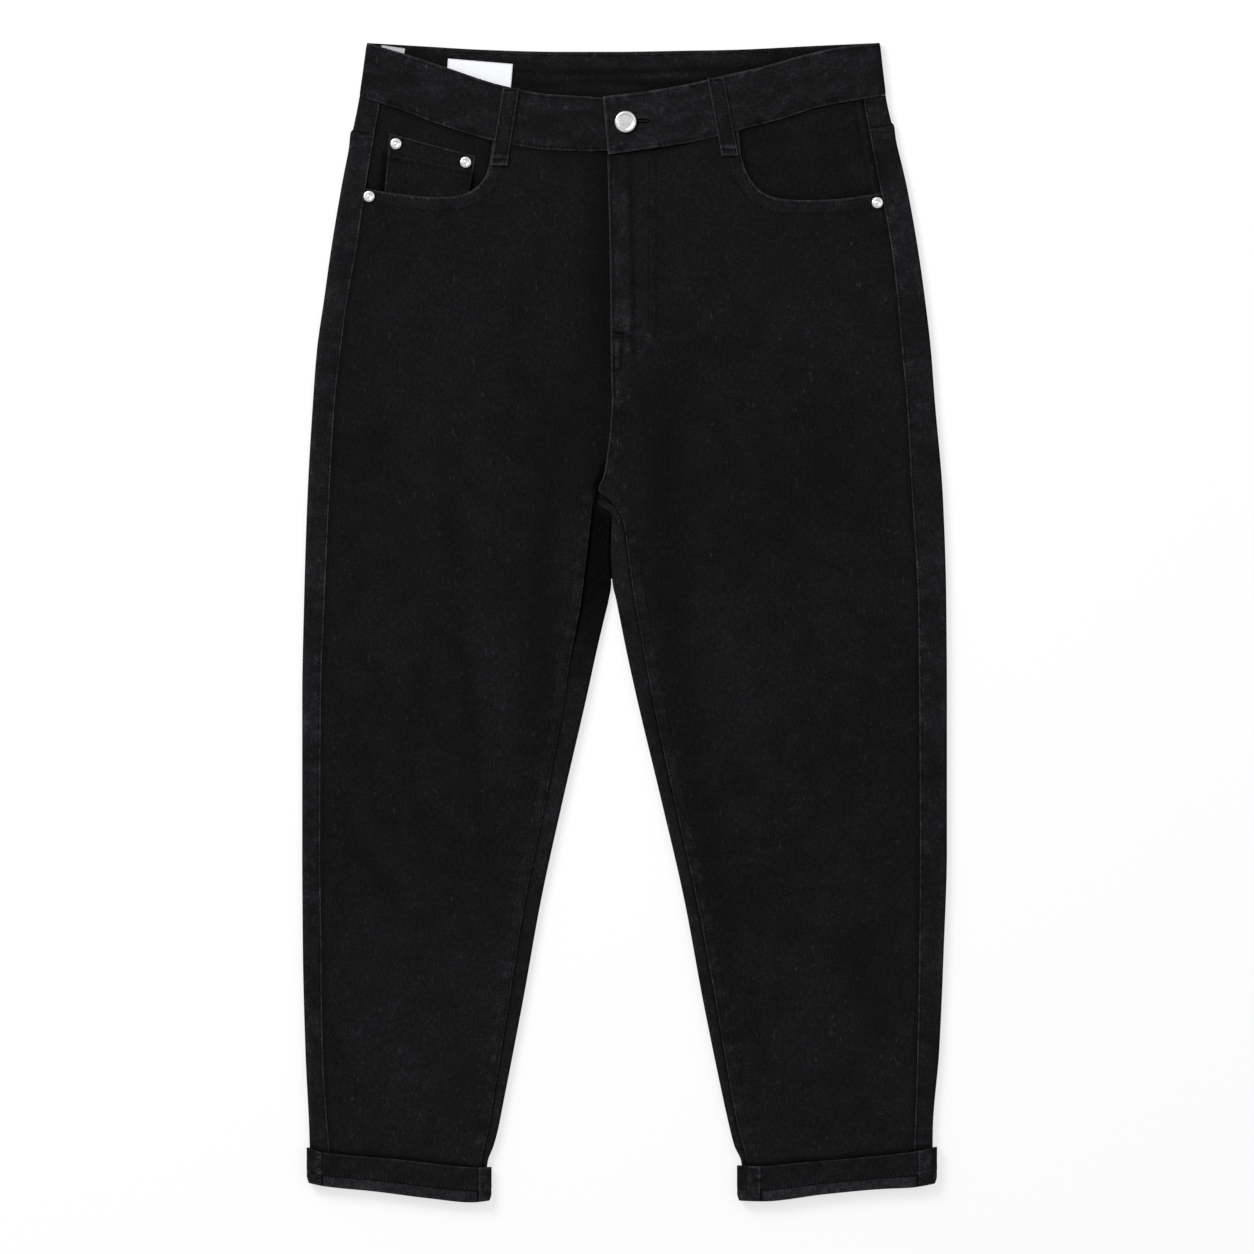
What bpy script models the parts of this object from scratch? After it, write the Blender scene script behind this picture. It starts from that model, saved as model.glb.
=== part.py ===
"""Mom jeans laid flat with the front up: high waist, five pockets, zip fly, turned-up cuffs.

Sizes and tables are in millimetres. +Y runs to the waist, +Z up from the surface that the
jeans lie on, and X = 0, Y = 0 is the middle of the whole outline. Right and left are the
wearer's, so the right leg lies at -X. Each cut piece of cloth is a thin closed wall.
"""

import math

import bmesh
import bpy

MILLIMETRE = 0.001

DENIM = 1.2              # one layer of denim
DOUBLE = 2.4             # waistband and cuff: denim folded on itself
SEAM_GAP = 0.3           # between two pieces at a seam, and between two layers
WAIST_GAP = 0.5          # the same under the waistband's curved lower edge
HALF = DENIM / 2
HALF_DOUBLE = DOUBLE / 2

FLOOR_MID = HALF         # middle of the back cloth where it lies on the surface
EDGE_MID = 5.8           # middle of the cloth where it comes round a fold to the front
REST_MID = 4.7           # middle of the front cloth away from the folds
EDGE_REACH = 13.0        # how far the raised edge of a panel reaches into it
LAP = 0.75               # half the step where one layer laps over another

WAIST_LAP_LIFT = 2.7     # the button end of the waistband lies this far above the other end
WAIST_LAP_ENDS = (24.0, 62.0)    # X over which it comes back down
CENTRE_BACK = -10.0      # X of the centre back seam
CROTCH_FORK = 31.0       # Y where the two legs part
WAIST_SIDE_Y = 405.0     # Y of the waist seam at the side seam
WAIST_CENTRE_Y = 367.0   # Y of the waist seam at centre front
WAIST_CURVE_FADE = 6     # power with which the waist seam's curve dies out down a front panel

LEG_END = (-433.0, -448.0)       # Y of the leg's end inside the cuff: outer side, inner side
TUCK = (-410.0, -422.5)          # inner Y where the leg starts and ends its step into the cuff
TUCKED_FLOOR_MID = DOUBLE + SEAM_GAP + HALF
TUCKED_TOP_MID = 5.5
CUFF_TOP_MID = TUCKED_TOP_MID + HALF + SEAM_GAP + HALF_DOUBLE

# The outer side of each leg: the fold is the outline, the seam lies on the front side of it.
SIDE_COLUMNS = ("y", "fold_x", "seam_x")
RIGHT_SIDE = (
    (452.0, -201.5, -190.5),
    (409.0, -207.0, -190.5),
    (386.0, -211.0, -194.0),
    (337.5, -221.0, -202.0),
    (290.5, -229.0, -209.0),
    (251.5, -234.5, -216.0),
    (212.5, -240.0, -221.0),
    (173.5, -243.0, -225.5),
    (95.5, -247.5, -230.0),
    (17.5, -250.0, -233.5),
    (-60.5, -251.5, -236.5),
    (-177.5, -251.5, -237.0),
    (-255.5, -251.0, -236.0),
    (-333.5, -249.0, -235.0),
    (-396.0, -246.0, -231.0),
    (-450.0, -244.5, -227.0),
)
LEFT_SIDE = (
    (452.0, 199.5, 186.5),
    (409.0, 204.0, 186.5),
    (386.0, 208.5, 190.0),
    (337.5, 220.5, 199.5),
    (290.5, 229.0, 208.0),
    (251.5, 234.5, 212.5),
    (212.5, 239.0, 216.0),
    (173.5, 242.0, 219.5),
    (95.5, 248.5, 224.0),
    (17.5, 251.0, 228.5),
    (-60.5, 251.5, 229.5),
    (-177.5, 251.5, 230.0),
    (-255.5, 249.0, 229.5),
    (-333.5, 245.5, 228.0),
    (-396.0, 240.5, 226.0),
    (-450.0, 240.0, 222.5),
)

# The inner edge of each front panel: centre front above, inner leg seam below.
INNER_SEAM_COLUMNS = ("y", "seam_x")
RIGHT_INNER_SEAM = (
    (367.0, -13.5), (283.0, -11.5), (198.0, -10.5), (172.0, -10.0), (148.0, -11.5),
    (128.0, -14.0), (114.0, -17.0), (106.0, -21.0), (100.0, -23.5), (72.0, -27.0),
    (42.5, -30.5), (17.0, -33.5), (-5.0, -37.5), (-31.0, -42.5), (-59.0, -46.5),
    (-138.5, -61.0), (-216.5, -77.0), (-294.5, -89.5), (-372.5, -102.0), (-394.0, -105.5),
    (-420.0, -111.0), (-450.0, -114.0),
)
LEFT_INNER_SEAM = (
    (367.0, -13.5), (283.0, -11.5), (198.0, -10.5), (172.0, -10.0), (148.0, -11.5),
    (128.0, -14.0), (114.0, -16.5), (103.5, -20.5), (95.5, -11.5), (86.5, -4.5),
    (76.5, -1.0), (52.5, 2.5), (24.5, 6.5), (-5.0, 11.5), (-59.0, 21.5),
    (-138.5, 38.5), (-216.5, 56.0), (-294.5, 70.5), (-372.5, 84.0), (-395.0, 88.5),
    (-420.0, 95.0), (-450.0, 98.0),
)

# The inner side of each leg, and above the fork the free edge of the piece between the legs.
INNER_FOLD_COLUMNS = ("y", "fold_x", "top_mid")
RIGHT_INNER_FOLD = (
    (91.5, -11.5, 3.2), (84.5, -11.0, 3.2), (52.5, -11.3, 3.2), (31.0, -10.2, 3.2),
    (17.5, -12.3, 3.3), (2.0, -16.0, 3.7), (-21.5, -21.5, 4.6), (-60.5, -30.0, 5.8),
    (-138.5, -48.0, 5.8), (-216.5, -65.0, 5.8), (-294.5, -79.0, 5.8), (-372.5, -94.0, 5.8),
    (-396.0, -98.7, 5.8), (-408.0, -102.0, 5.8), (-420.0, -106.5, 5.6), (-450.0, -109.5, 5.5),
)
LEFT_INNER_FOLD = (
    (98.0, -21.6, 4.7), (92.0, -21.0, 4.8), (84.5, -10.2, 4.9), (52.5, -10.9, 5.7),
    (31.0, -9.6, 5.8), (17.5, -6.6, 5.8), (2.0, -3.5, 5.8), (-21.5, 1.2, 5.8),
    (-60.5, 9.8, 5.8), (-138.5, 28.5, 5.8), (-216.5, 46.5, 5.8), (-294.5, 61.0, 5.8),
    (-372.5, 77.0, 5.8), (-396.0, 82.3, 5.8), (-408.0, 85.5, 5.8), (-420.0, 90.8, 5.6),
    (-450.0, 93.5, 5.5),
)

# The waistband as it lies: top edge and bottom edge, from side to side.
BAND_COLUMNS = ("top_x", "top_y", "bottom_x", "bottom_y")
BAND_FRONT_RIGHT = (
    (-201.2, 452.0, -207.0, 410.0), (-169.7, 442.7, -175.1, 399.8),
    (-138.5, 432.5, -146.2, 388.8), (-94.8, 418.5, -102.6, 375.6),
    (-58.1, 411.8, -58.1, 368.2), (-16.8, 409.9, -13.7, 367.0), (20.0, 411.5, 20.0, 370.6),
)
BAND_FRONT_LEFT = (
    (-16.8, 409.9, -12.9, 364.7), (16.0, 413.8, 19.9, 369.3), (51.1, 420.0, 56.6, 375.2),
    (77.6, 426.3, 87.8, 383.4), (108.0, 433.3, 118.2, 391.2), (140.0, 442.3, 155.6, 402.5),
    (172.0, 449.1, 187.6, 408.3), (199.3, 452.0, 204.0, 411.4),
)
BAND_BACK = (
    (-201.2, 452.0, -207.0, 410.0), (-156.4, 449.3, -160.0, 407.0),
    (-108.8, 446.6, -110.0, 404.6), (-50.3, 445.0, -50.3, 403.0), (-9.8, 445.0, -9.8, 403.0),
    (43.3, 445.8, 43.3, 403.6), (83.9, 446.6, 85.0, 404.6), (148.6, 449.7, 152.0, 408.0),
    (199.3, 452.0, 204.0, 411.4),
)
# Points across the waistband: how far from its top edge, and its share of the full thickness.
BAND_EDGES = ((0.0, 0.7), (0.09, 1.0), (0.5, 0.92), (0.91, 1.0), (1.0, 0.7))
BAND_FOLD_REACH = 9.0            # the flat stretches of the band end this far from the outline
BAND_STATION = {"front": 12.0, "back": 25.0, "slope": 6.0}   # longest step between its points
UNDERLAP_FROM = -30.0            # X from which the hidden end is drawn in, over the next stretch
UNDERLAP_FADE = 10.0
UNDERLAP_INSET = 0.6

# Long soft folds of the front: a line, its sideways bow, half width and height.
FOLD_END_POWER = 0.7     # under 1, a fold keeps its height for longer towards its ends
FOLD_COLUMNS = ("from_x", "from_y", "to_x", "to_y", "bow", "half_width", "height")
FOLDS = (
    (-144.0, 165.0, -97.0, -265.0, 0.0, 9.0, -1.0),
    (-100.0, 10.0, -84.0, -160.0, 3.0, 10.0, 0.8),
    (-32.0, 215.0, -66.0, -115.0, -12.0, 10.0, -0.9),
    (-218.0, 140.0, -150.0, 118.0, 5.0, 14.0, -0.5),
    (-222.0, -150.0, -180.0, -235.0, 6.0, 14.0, -0.5),
    (-190.0, -330.0, -150.0, -395.0, 0.0, 16.0, 0.6),
    (28.0, 200.0, 133.0, -400.0, -27.0, 11.0, -1.1),
    (78.0, 45.0, 100.0, -130.0, -4.0, 18.0, 0.7),
    (120.0, 190.0, 190.0, 60.0, 10.0, 16.0, -0.5),
    (196.0, -225.0, 180.0, -310.0, 0.0, 13.0, -0.7),
    (150.0, -250.0, 142.0, -370.0, 0.0, 16.0, 0.7),
)

# Pocket mouths, from the side seam to the waist seam.
RIGHT_MOUTH = (
    (-203.0, 338.6), (-177.5, 334.2), (-147.0, 331.6), (-132.2, 332.3), (-120.5, 336.0),
    (-111.5, 343.6), (-107.0, 351.5), (-104.6, 362.0), (-103.0, 376.0),
)
LEFT_MOUTH = (
    (201.0, 335.2), (179.8, 331.7), (164.2, 330.0), (140.0, 329.2), (124.4, 330.0),
    (111.2, 333.4), (101.8, 340.5), (95.5, 350.6), (90.6, 366.0), (89.0, 384.0),
)
FACING_REACH = 12.0      # the facing runs on behind the panel, past the mouth
FACING_CELLS = (12, 12)
FACING_TURN = 17         # the mouth's point where the facing's bottom edge turns up
MOUTH_RAISE = (22.0, 44.0)       # full lap near the mouth, and where it ends
MOUTH_POINTS = 26
MOUTH_CUT = {"beyond_side": 20.0, "above_waist": 60.0, "bottom": -2.0, "top": 14.0}
COIN_CORNERS = ((-183.1, 381.2), (-115.9, 363.4), (-187.8, 326.5), (-123.6, 325.0))
COIN_THICK = 1.0
COIN_SINGLE = 0.75       # its thickness below the hem, as a share of the hem's
COIN_HEM = 0.30          # share of the coin pocket's height that is its doubled hem
COIN_HEM_STEP = 0.04
COIN_ROWS = 7            # rows of cells below the hem
COIN_COLUMNS = 7
COIN_DIP = 1.3           # the facing sinks this far where the coin pocket slips behind the mouth
COIN_DIP_Y = (336.0, 354.0)
COIN_DIP_X = ((104.0, 116.0), (196.0, 208.0))    # -X over which the dip starts and ends

FLY_EXTENSION = 6.0      # the right front runs on under the fly edge
FLY_ENDS = (175.0, 215.0)        # Y over which that extension dies out
FLY_LAP_ENDS = (150.0, 190.0)    # Y over which the lap itself dies out
FLY_LAP_REACH = (12.0, 24.0)     # how far from the fly edge the left front stays lapped
FLY_SINK_REACH = (1.0, 8.0)      # how far before that edge the right front sinks under it
FLY_FACED = (31.0, 39.0)         # width of the fly's second layer, and where its step ends
FLY_FACED_ENDS = (207.0, 219.0)  # Y over which the second layer ends at the curved stitching
FLY_RAISE = 0.5
LEGS_PARTED = (50.0, 110.0)      # Y over which the inner edges take the height of a fold
ZIP = {"half_width": 12.0, "top": 358.0, "bottom": 216.0, "thick": 1.0, "off_centre": 2.0}
ZIP_ROWS = 6
ZIP_CLEAR = (-4.0, 0.0, 4.0)     # the zip stays under the front cloth at these X about its points

BELT_LOOP_WIDTH = 12.6
BELT_LOOP_THICK = 1.8
BELT_LOOP_SPOTS = (-1.0, -0.35, 0.35, 1.0)       # across a loop, in half widths
BELT_LOOP_CLEAR = (-6.0, 0.0, 6.0)               # it clears what lies this far up and down
BAND_EDGE_REACH = 3.0            # the waistband's height counts this far below its lower edge
# How far down a front loop, and its share of the full thickness there; the foot is doubled.
FRONT_LOOP_ROWS = (
    (0.0, 0.75), (0.12, 0.75), (0.4, 0.72), (0.62, 0.72), (0.72, 0.75), (0.84, 0.75),
    (0.87, 1.0), (1.0, 0.95),
)
FRONT_LOOPS = {
    "belt_loop_front_right": ((-88.4, 416.6), (-97.9, 356.3)),
    "belt_loop_front_left": ((71.0, 424.4), (82.2, 364.0)),
}
BACK_LOOPS = {
    "belt_loop_back_right": CENTRE_BACK - 52.0,
    "belt_loop_back_centre": CENTRE_BACK,
    "belt_loop_back_left": CENTRE_BACK + 52.0,
}
BACK_LOOP_LENGTH = 54.0
BACK_LOOP_THICK = 1.0
BACK_LOOP_TOP = 41.5             # above the band's lower edge
BACK_LOOP_BEND = 15.0
BACK_LOOP_LIFT = BACK_LOOP_THICK + SEAM_GAP
BACK_LIFT_ENDS = (61.0, 85.0)    # distance from centre back over which the band comes down
YOKE_LIFT_ENDS = (0.68, 0.55)    # the same on the yoke, as a share of its floor width
BACK_POCKET_THICK = 1.0
BACK_POCKET_LIFT = BACK_POCKET_THICK + SEAM_GAP
BACK_POCKET_ROWS = (262.0, 106.0)        # inner Y between which the panel is lifted over it
BACK_POCKET_SPAN = (0.15, 0.86)          # share of the floor width over which it is lifted
BACK_POCKET_INSET = 0.025
BACK_POCKET_TAPER = 0.03         # each side comes in by this share towards the bottom
BACK_POCKET_TIP = 16.0
BACK_POCKET_CLEAR = (4.0, 6.0)   # inside the lifted stretch, at the top and above the tip

# Inner Y of the rows of points down a panel; the crotch needs them close together.
PANEL_ROWS = (
    342.0, 312.0, 285.0, 262.0, 235.0, 207.0, 178.0, 150.0, 128.0, 114.0, 106.0, 100.0, 92.0,
    84.5, 68.0, 50.0, 31.0, 15.0, -5.0, -30.0, -60.0, -105.0, -150.0, -200.0, -250.0, -300.0,
    -345.0, -378.0, -396.0, -410.0, -422.5, -448.0,
)
EDGE_STEPS = (0.0, 5.0, 11.0, 19.0, 30.0)
MIDDLE_STEPS = 5

# The pointed top of the strip between the legs: its row, and how its fold and seam lean from it.
TONGUE_TOP = {"right": 84.5, "left": 92.0}
TONGUE_SKEW = {"right": (-0.5, 6.5), "left": (5.0, 0.0)}

FLOOR_SHARES = (0.09, 0.15, 0.38, 0.62, 0.86, 0.92)
YOKE_SHARES = (0.22, 0.42, 0.55, 0.615, 0.68, 0.84)
# How far down a yoke, and how much of its lift over the belt loops is left there.
YOKE_ROWS = ((0.0, 1.0), (0.25, 1.0), (0.5, 1.0), (0.75, 0.3), (1.0, 0.0))
YOKE_WAIST_REACH = 0.25          # the waist seam's curve dies out over this share of the yoke
YOKE_TOP_Y = 409.0
STRIP_POINTS = 2                 # from the seam to the fold on the front side
ROLL_STEPS = 4

RIVET = {"radius": 4.5, "height": 1.9}
# Turned profiles, bottom to top, as shares of the radius and the height.
RIVET_PROFILE = ((0.92, 0.0), (1.0, 0.3), (0.93, 0.7), (0.66, 1.0), (0.4, 0.8), (0.22, 0.95))
BUTTON_PROFILE = ((0.86, 0.0), (0.97, 0.28), (1.0, 0.5), (0.95, 0.82), (0.84, 1.0), (0.72, 0.92),
                  (0.62, 0.84))
COIN_RIVETS = 2          # the first of them are on the coin pocket
RIVETS = ((-178.2, 373.2), (-123.9, 358.8), (-199.1, 332.1), (197.0, 327.2))
BUTTON = {"x": 0.8, "y": 390.1, "radius": 8.6, "height": 3.2}
LABEL = {"corners": ((-137.7, 439.8), (-87.0, 435.5), (-140.0, 410.0), (-89.5, 405.5)),
         "thick": 0.8}
SIDE_TAB = {"corners": ((-189.5, 450.2), (-171.0, 447.6), (-191.5, 437.0), (-173.0, 434.4)),
            "thick": 0.8}

RIGHT_CUFF = {
    "top": ((-247.5, -409.0), (-236.0, -413.0), (-217.2, -415.1), (-173.6, -418.9),
            (-129.9, -423.9), (-114.3, -424.9), (-104.0, -424.4)),
    "bottom": ((-247.5, -436.5), (-233.6, -439.5), (-195.4, -443.4), (-151.7, -448.9),
               (-119.0, -452.0), (-105.5, -450.6)),
    "folds": (-248.0, -103.5),
}
LEFT_CUFF = {
    "top": ((88.0, -423.2), (106.5, -423.9), (131.4, -421.6), (177.5, -417.7),
            (227.8, -412.2), (243.5, -408.6)),
    "bottom": ((88.5, -450.6), (107.6, -451.2), (154.6, -445.8), (200.1, -441.6),
               (223.2, -440.5), (243.5, -437.0)),
    "folds": (87.5, 243.8),
}
CUFF_ROUNDING = 1.2              # how far the cuff's lower corners come in
CUFF_ROUNDED_FROM = 0.8
# How far down the cuff, and its share of the full thickness: a hem under a groove at 0.66.
CUFF_ROWS = ((0.0, 1.0), (0.30, 0.94), (0.60, 1.0), (0.66, 0.84), (0.93, 0.9), (1.0, 0.55))
CUFF_STEPS = 9

COLOURS = {
    "denim": ((0.0105, 0.0108, 0.0120), 0.92, 0.0),
    "facing": ((0.0090, 0.0092, 0.0104), 0.94, 0.0),
    "label": ((0.78, 0.78, 0.80), 0.80, 0.0),
    "tab": ((0.42, 0.42, 0.43), 0.80, 0.0),
    "zip": ((0.012, 0.012, 0.013), 0.70, 0.0),
    "metal": ((0.62, 0.61, 0.59), 0.32, 1.0),
}


def smooth(share):
    share = min(max(share, 0.0), 1.0)
    return share * share * (3.0 - 2.0 * share)


def fall(value, ends):
    """1 below the first end, 0 above the second, with a smooth slope between."""
    return smooth((ends[1] - value) / (ends[1] - ends[0]))


def mix(low, high, share):
    return low + (high - low) * share


def curve(rows, column):
    """A curve through one column of a table, read by its first column, that never overshoots."""
    points = sorted((row[0], row[column]) for row in rows)
    xs = [point[0] for point in points]
    ys = [point[1] for point in points]
    steps = [(ys[i + 1] - ys[i]) / (xs[i + 1] - xs[i]) for i in range(len(xs) - 1)]
    slopes = [steps[0]]
    for before, after in zip(steps, steps[1:]):
        flat = before * after <= 0.0
        slopes.append(0.0 if flat else 2.0 * before * after / (before + after))
    slopes.append(steps[-1])

    def value(x):
        x = min(max(x, xs[0]), xs[-1])
        i = 0
        while i < len(xs) - 2 and x > xs[i + 1]:
            i += 1
        width = xs[i + 1] - xs[i]
        t = (x - xs[i]) / width
        return ((2 * t**3 - 3 * t**2 + 1) * ys[i] + (t**3 - 2 * t**2 + t) * width * slopes[i]
                + (3 * t**2 - 2 * t**3) * ys[i + 1] + (t**3 - t**2) * width * slopes[i + 1])

    return value


def column_of(columns, name):
    return columns.index(name)


def edge_line(rows, x_name, y_name):
    """Y of one edge of the waistband as a function of X."""
    x_column = column_of(BAND_COLUMNS, x_name)
    y_column = column_of(BAND_COLUMNS, y_name)
    return curve(tuple((row[x_column], row[y_column]) for row in rows), 1)


def resample(points, count):
    """Evenly spaced points along a smooth line through the given points."""
    lengths = [0.0]
    for before, after in zip(points, points[1:]):
        lengths.append(lengths[-1] + math.dist(before, after))
    along_x = curve(tuple((length, p[0]) for length, p in zip(lengths, points)), 1)
    along_y = curve(tuple((length, p[1]) for length, p in zip(lengths, points)), 1)
    spots = [lengths[-1] * i / (count - 1) for i in range(count)]
    return [(along_x(spot), along_y(spot)) for spot in spots]


def distance_to(points, x, y):
    nearest = 1e9
    for (ax, ay), (bx, by) in zip(points, points[1:]):
        length = (bx - ax) ** 2 + (by - ay) ** 2
        t = min(max(((x - ax) * (bx - ax) + (y - ay) * (by - ay)) / length, 0.0), 1.0)
        nearest = min(nearest, math.hypot(x - mix(ax, bx, t), y - mix(ay, by, t)))
    return nearest


WAIST_FRONT = {
    "right": edge_line(BAND_FRONT_RIGHT, "bottom_x", "bottom_y"),
    "left": edge_line(BAND_FRONT_LEFT, "bottom_x", "bottom_y"),
}
WAIST_BACK = edge_line(BAND_BACK, "bottom_x", "bottom_y")


class Leg:
    """The lines that one half of the jeans is laid out on: out is -1 on the right, 1 on the left."""

    def __init__(self, name, out, side, inner_seam, inner_fold, mouth):
        self.name = name
        self.out = out
        self.side_fold = curve(side, column_of(SIDE_COLUMNS, "fold_x"))
        self.side_seam = curve(side, column_of(SIDE_COLUMNS, "seam_x"))
        self.inner_seam = curve(inner_seam, column_of(INNER_SEAM_COLUMNS, "seam_x"))
        self.inner_fold = curve(inner_fold, column_of(INNER_FOLD_COLUMNS, "fold_x"))
        self.inner_mid = curve(inner_fold, column_of(INNER_FOLD_COLUMNS, "top_mid"))
        self.waist = WAIST_FRONT[name]
        self.mouth = resample(mouth, MOUTH_POINTS)
        self.side_top = self.waist(self.side_seam(WAIST_SIDE_Y)) - WAIST_GAP
        self.inner_top = self.waist(self.inner_seam(WAIST_CENTRE_Y)) - WAIST_GAP

    def share(self, inner_y):
        """How far down the panel a row lies, from the waist seam at 0 to the leg's end at 1."""
        return (self.inner_top - inner_y) / (self.inner_top - LEG_END[1])

    def side_y(self, share):
        return mix(self.side_top, LEG_END[0], share)

    def inner_y(self, share):
        return mix(self.inner_top, LEG_END[1], share)


LEGS = {
    "right": Leg("right", -1, RIGHT_SIDE, RIGHT_INNER_SEAM, RIGHT_INNER_FOLD, RIGHT_MOUTH),
    "left": Leg("left", 1, LEFT_SIDE, LEFT_INNER_SEAM, LEFT_INNER_FOLD, LEFT_MOUTH),
}


def tucked(inner_y):
    """0 above the cuff, 1 where the leg has stepped in between the cuff's layers."""
    return fall(inner_y, (TUCK[1], TUCK[0]))


def fold_height(x, y):
    """Sum of the soft folds at a point, each fading out towards its two ends."""
    total = 0.0
    for row in FOLDS:
        fold = dict(zip(FOLD_COLUMNS, row))
        run_x, run_y = fold["to_x"] - fold["from_x"], fold["to_y"] - fold["from_y"]
        away_x, away_y = x - fold["from_x"], y - fold["from_y"]
        length = math.hypot(run_x, run_y)
        along = (away_x * run_x + away_y * run_y) / length**2
        if not 0.0 < along < 1.0:
            continue
        across = (away_y * run_x - away_x * run_y) / length
        across -= fold["bow"] * 4.0 * along * (1.0 - along)
        fading = math.sin(math.pi * along) ** FOLD_END_POWER
        total += fold["height"] * fading * math.exp(-(across / fold["half_width"]) ** 2)
    return total


def front_mid(leg, x, y):
    """Height of the middle of the front cloth, before any lap over another layer."""
    from_side = math.exp(-((x - leg.side_seam(y)) / EDGE_REACH) ** 2)
    from_inner = fall(y, LEGS_PARTED) * math.exp(-((x - leg.inner_seam(y)) / EDGE_REACH) ** 2)
    from_waist = math.exp(-((leg.waist(x) - y) / EDGE_REACH) ** 2)
    free = (1.0 - from_side) * (1.0 - from_inner) * (1.0 - from_waist)
    return mix(EDGE_MID, REST_MID + fold_height(x, y), free)


def mouth_lap(leg, x, y):
    return LAP * fall(distance_to(leg.mouth, x, y), MOUTH_RAISE)


def fly_lap(y):
    return LAP * (1.0 - fall(y, FLY_LAP_ENDS))


def panel_mid(leg, x, y):
    """Height of the middle of a front panel with its laps at the pocket mouth and the fly."""
    height = front_mid(leg, x, y) + mouth_lap(leg, x, y)
    from_centre = x - LEGS["left"].inner_seam(y)
    if leg.name == "left":
        height += fly_lap(y) * fall(from_centre, FLY_LAP_REACH)
        height += FLY_RAISE * fall(from_centre, FLY_FACED) * (1.0 - fall(y, FLY_FACED_ENDS))
    else:
        height -= fly_lap(y) * fall(-from_centre, FLY_SINK_REACH)
    return height


def facing_mid(leg, x, y):
    height = front_mid(leg, x, y) - LAP
    if leg.name == "right":
        across = (1.0 - fall(-x, COIN_DIP_X[0])) * fall(-x, COIN_DIP_X[1])
        height -= COIN_DIP * fall(y, COIN_DIP_Y) * across
    return height


def clear_scene():
    for thing in list(bpy.data.objects):
        bpy.data.objects.remove(thing, do_unlink=True)


def material(name):
    colour, roughness, metallic = COLOURS[name]
    made = bpy.data.materials.get(name)
    if made is None:
        made = bpy.data.materials.new(name)
        made.use_nodes = True
        shader = made.node_tree.nodes["Principled BSDF"]
        shader.inputs["Base Color"].default_value = (*colour, 1.0)
        shader.inputs["Roughness"].default_value = roughness
        shader.inputs["Metallic"].default_value = metallic
    return made


def make_object(name, mesh_data, finish):
    mesh = bpy.data.meshes.new(name)
    mesh_data.normal_update()
    mesh_data.to_mesh(mesh)
    mesh_data.free()
    mesh.materials.append(material(finish))
    made = bpy.data.objects.new(name, mesh)
    bpy.context.scene.collection.objects.link(made)
    return made


def wall(name, grid, finish, half, present=None, ring=False):
    """A closed wall from rows of middle points (x, y, z, normal_x, normal_z, thickness share).

    present(row, column) says whether the cell that starts there is cloth; ring joins the last
    column back to the first.
    """
    rows, columns = len(grid), len(grid[0])
    last_column = columns if ring else columns - 1
    shape = bmesh.new()
    sides = {1: {}, -1: {}}

    def corner(side, i, j):
        j = j % columns
        if (i, j) not in sides[side]:
            x, y, z, normal_x, normal_z, share = grid[i][j]
            step = side * half * share
            place = (x + normal_x * step, y, z + normal_z * step)
            sides[side][i, j] = shape.verts.new([value * MILLIMETRE for value in place])
        return sides[side][i, j]

    edges = {}
    for i in range(rows - 1):
        for j in range(last_column):
            if present and not present(i, j):
                continue
            around = ((i, j), (i, (j + 1) % columns), (i + 1, (j + 1) % columns), (i + 1, j))
            shape.faces.new([corner(1, *spot) for spot in around])
            shape.faces.new([corner(-1, *spot) for spot in reversed(around)])
            for spot, following in zip(around, around[1:] + around[:1]):
                if (following, spot) in edges:
                    del edges[following, spot]
                else:
                    edges[spot, following] = True
    for spot, following in edges:
        shape.faces.new((corner(1, *following), corner(1, *spot),
                         corner(-1, *spot), corner(-1, *following)))
    bmesh.ops.recalc_face_normals(shape, faces=shape.faces)
    return make_object(name, shape, finish)


def roll(fold_x, y, top_mid, floor_mid, half, way, downwards):
    """Points round a fold, which bulges towards way (-1 or 1) and touches fold_x outside."""
    radius = (top_mid - floor_mid) / 2
    centre_x = fold_x - way * (radius + half)
    centre_z = (top_mid + floor_mid) / 2
    points = []
    for step in range(ROLL_STEPS + 1):
        angle = math.pi / 2 - math.pi * step / ROLL_STEPS
        c, s = math.cos(angle), math.sin(angle)
        points.append((centre_x + way * radius * c, y, centre_z + radius * s, way * c, s, 1.0))
    return points if downwards else points[::-1]


def build_front(leg):
    """Front panel: from the side seam to centre front and the inner leg seam, pocket cut out."""
    grid = []
    for inner_y in (leg.inner_top,) + PANEL_ROWS:
        share = leg.share(inner_y)
        side_y = leg.side_y(share)
        side_x = leg.side_seam(side_y) - leg.out * SEAM_GAP / 2
        under = FLY_EXTENSION * (1.0 - fall(inner_y, FLY_ENDS)) if leg.name == "right" else 0.0
        inner_x = leg.inner_seam(inner_y) + leg.out * SEAM_GAP / 2 + under
        width = abs(inner_x - side_x)
        middle = [mix(EDGE_STEPS[-1], width - EDGE_STEPS[-1], k / (MIDDLE_STEPS + 1))
                  for k in range(1, MIDDLE_STEPS + 1)]
        steps = list(EDGE_STEPS) + middle + [width - step for step in reversed(EDGE_STEPS)]
        row = []
        for step in steps:
            f = step / width
            x = mix(side_x, inner_x, f)
            top_x = mix(leg.side_seam(leg.side_top), leg.inner_seam(leg.inner_top) + under, f)
            curved = leg.waist(top_x) - WAIST_GAP - mix(leg.side_top, leg.inner_top, f)
            y = mix(side_y, inner_y, f) + curved * (1.0 - share) ** WAIST_CURVE_FADE
            height = mix(panel_mid(leg, x, y), TUCKED_TOP_MID, tucked(inner_y))
            row.append((x, y, height, 0.0, 1.0, 1.0))
        grid.append(row)
    panel = wall("front_" + leg.name, grid, "denim", HALF)
    cut_pocket_mouth(panel, leg)
    return panel


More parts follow.
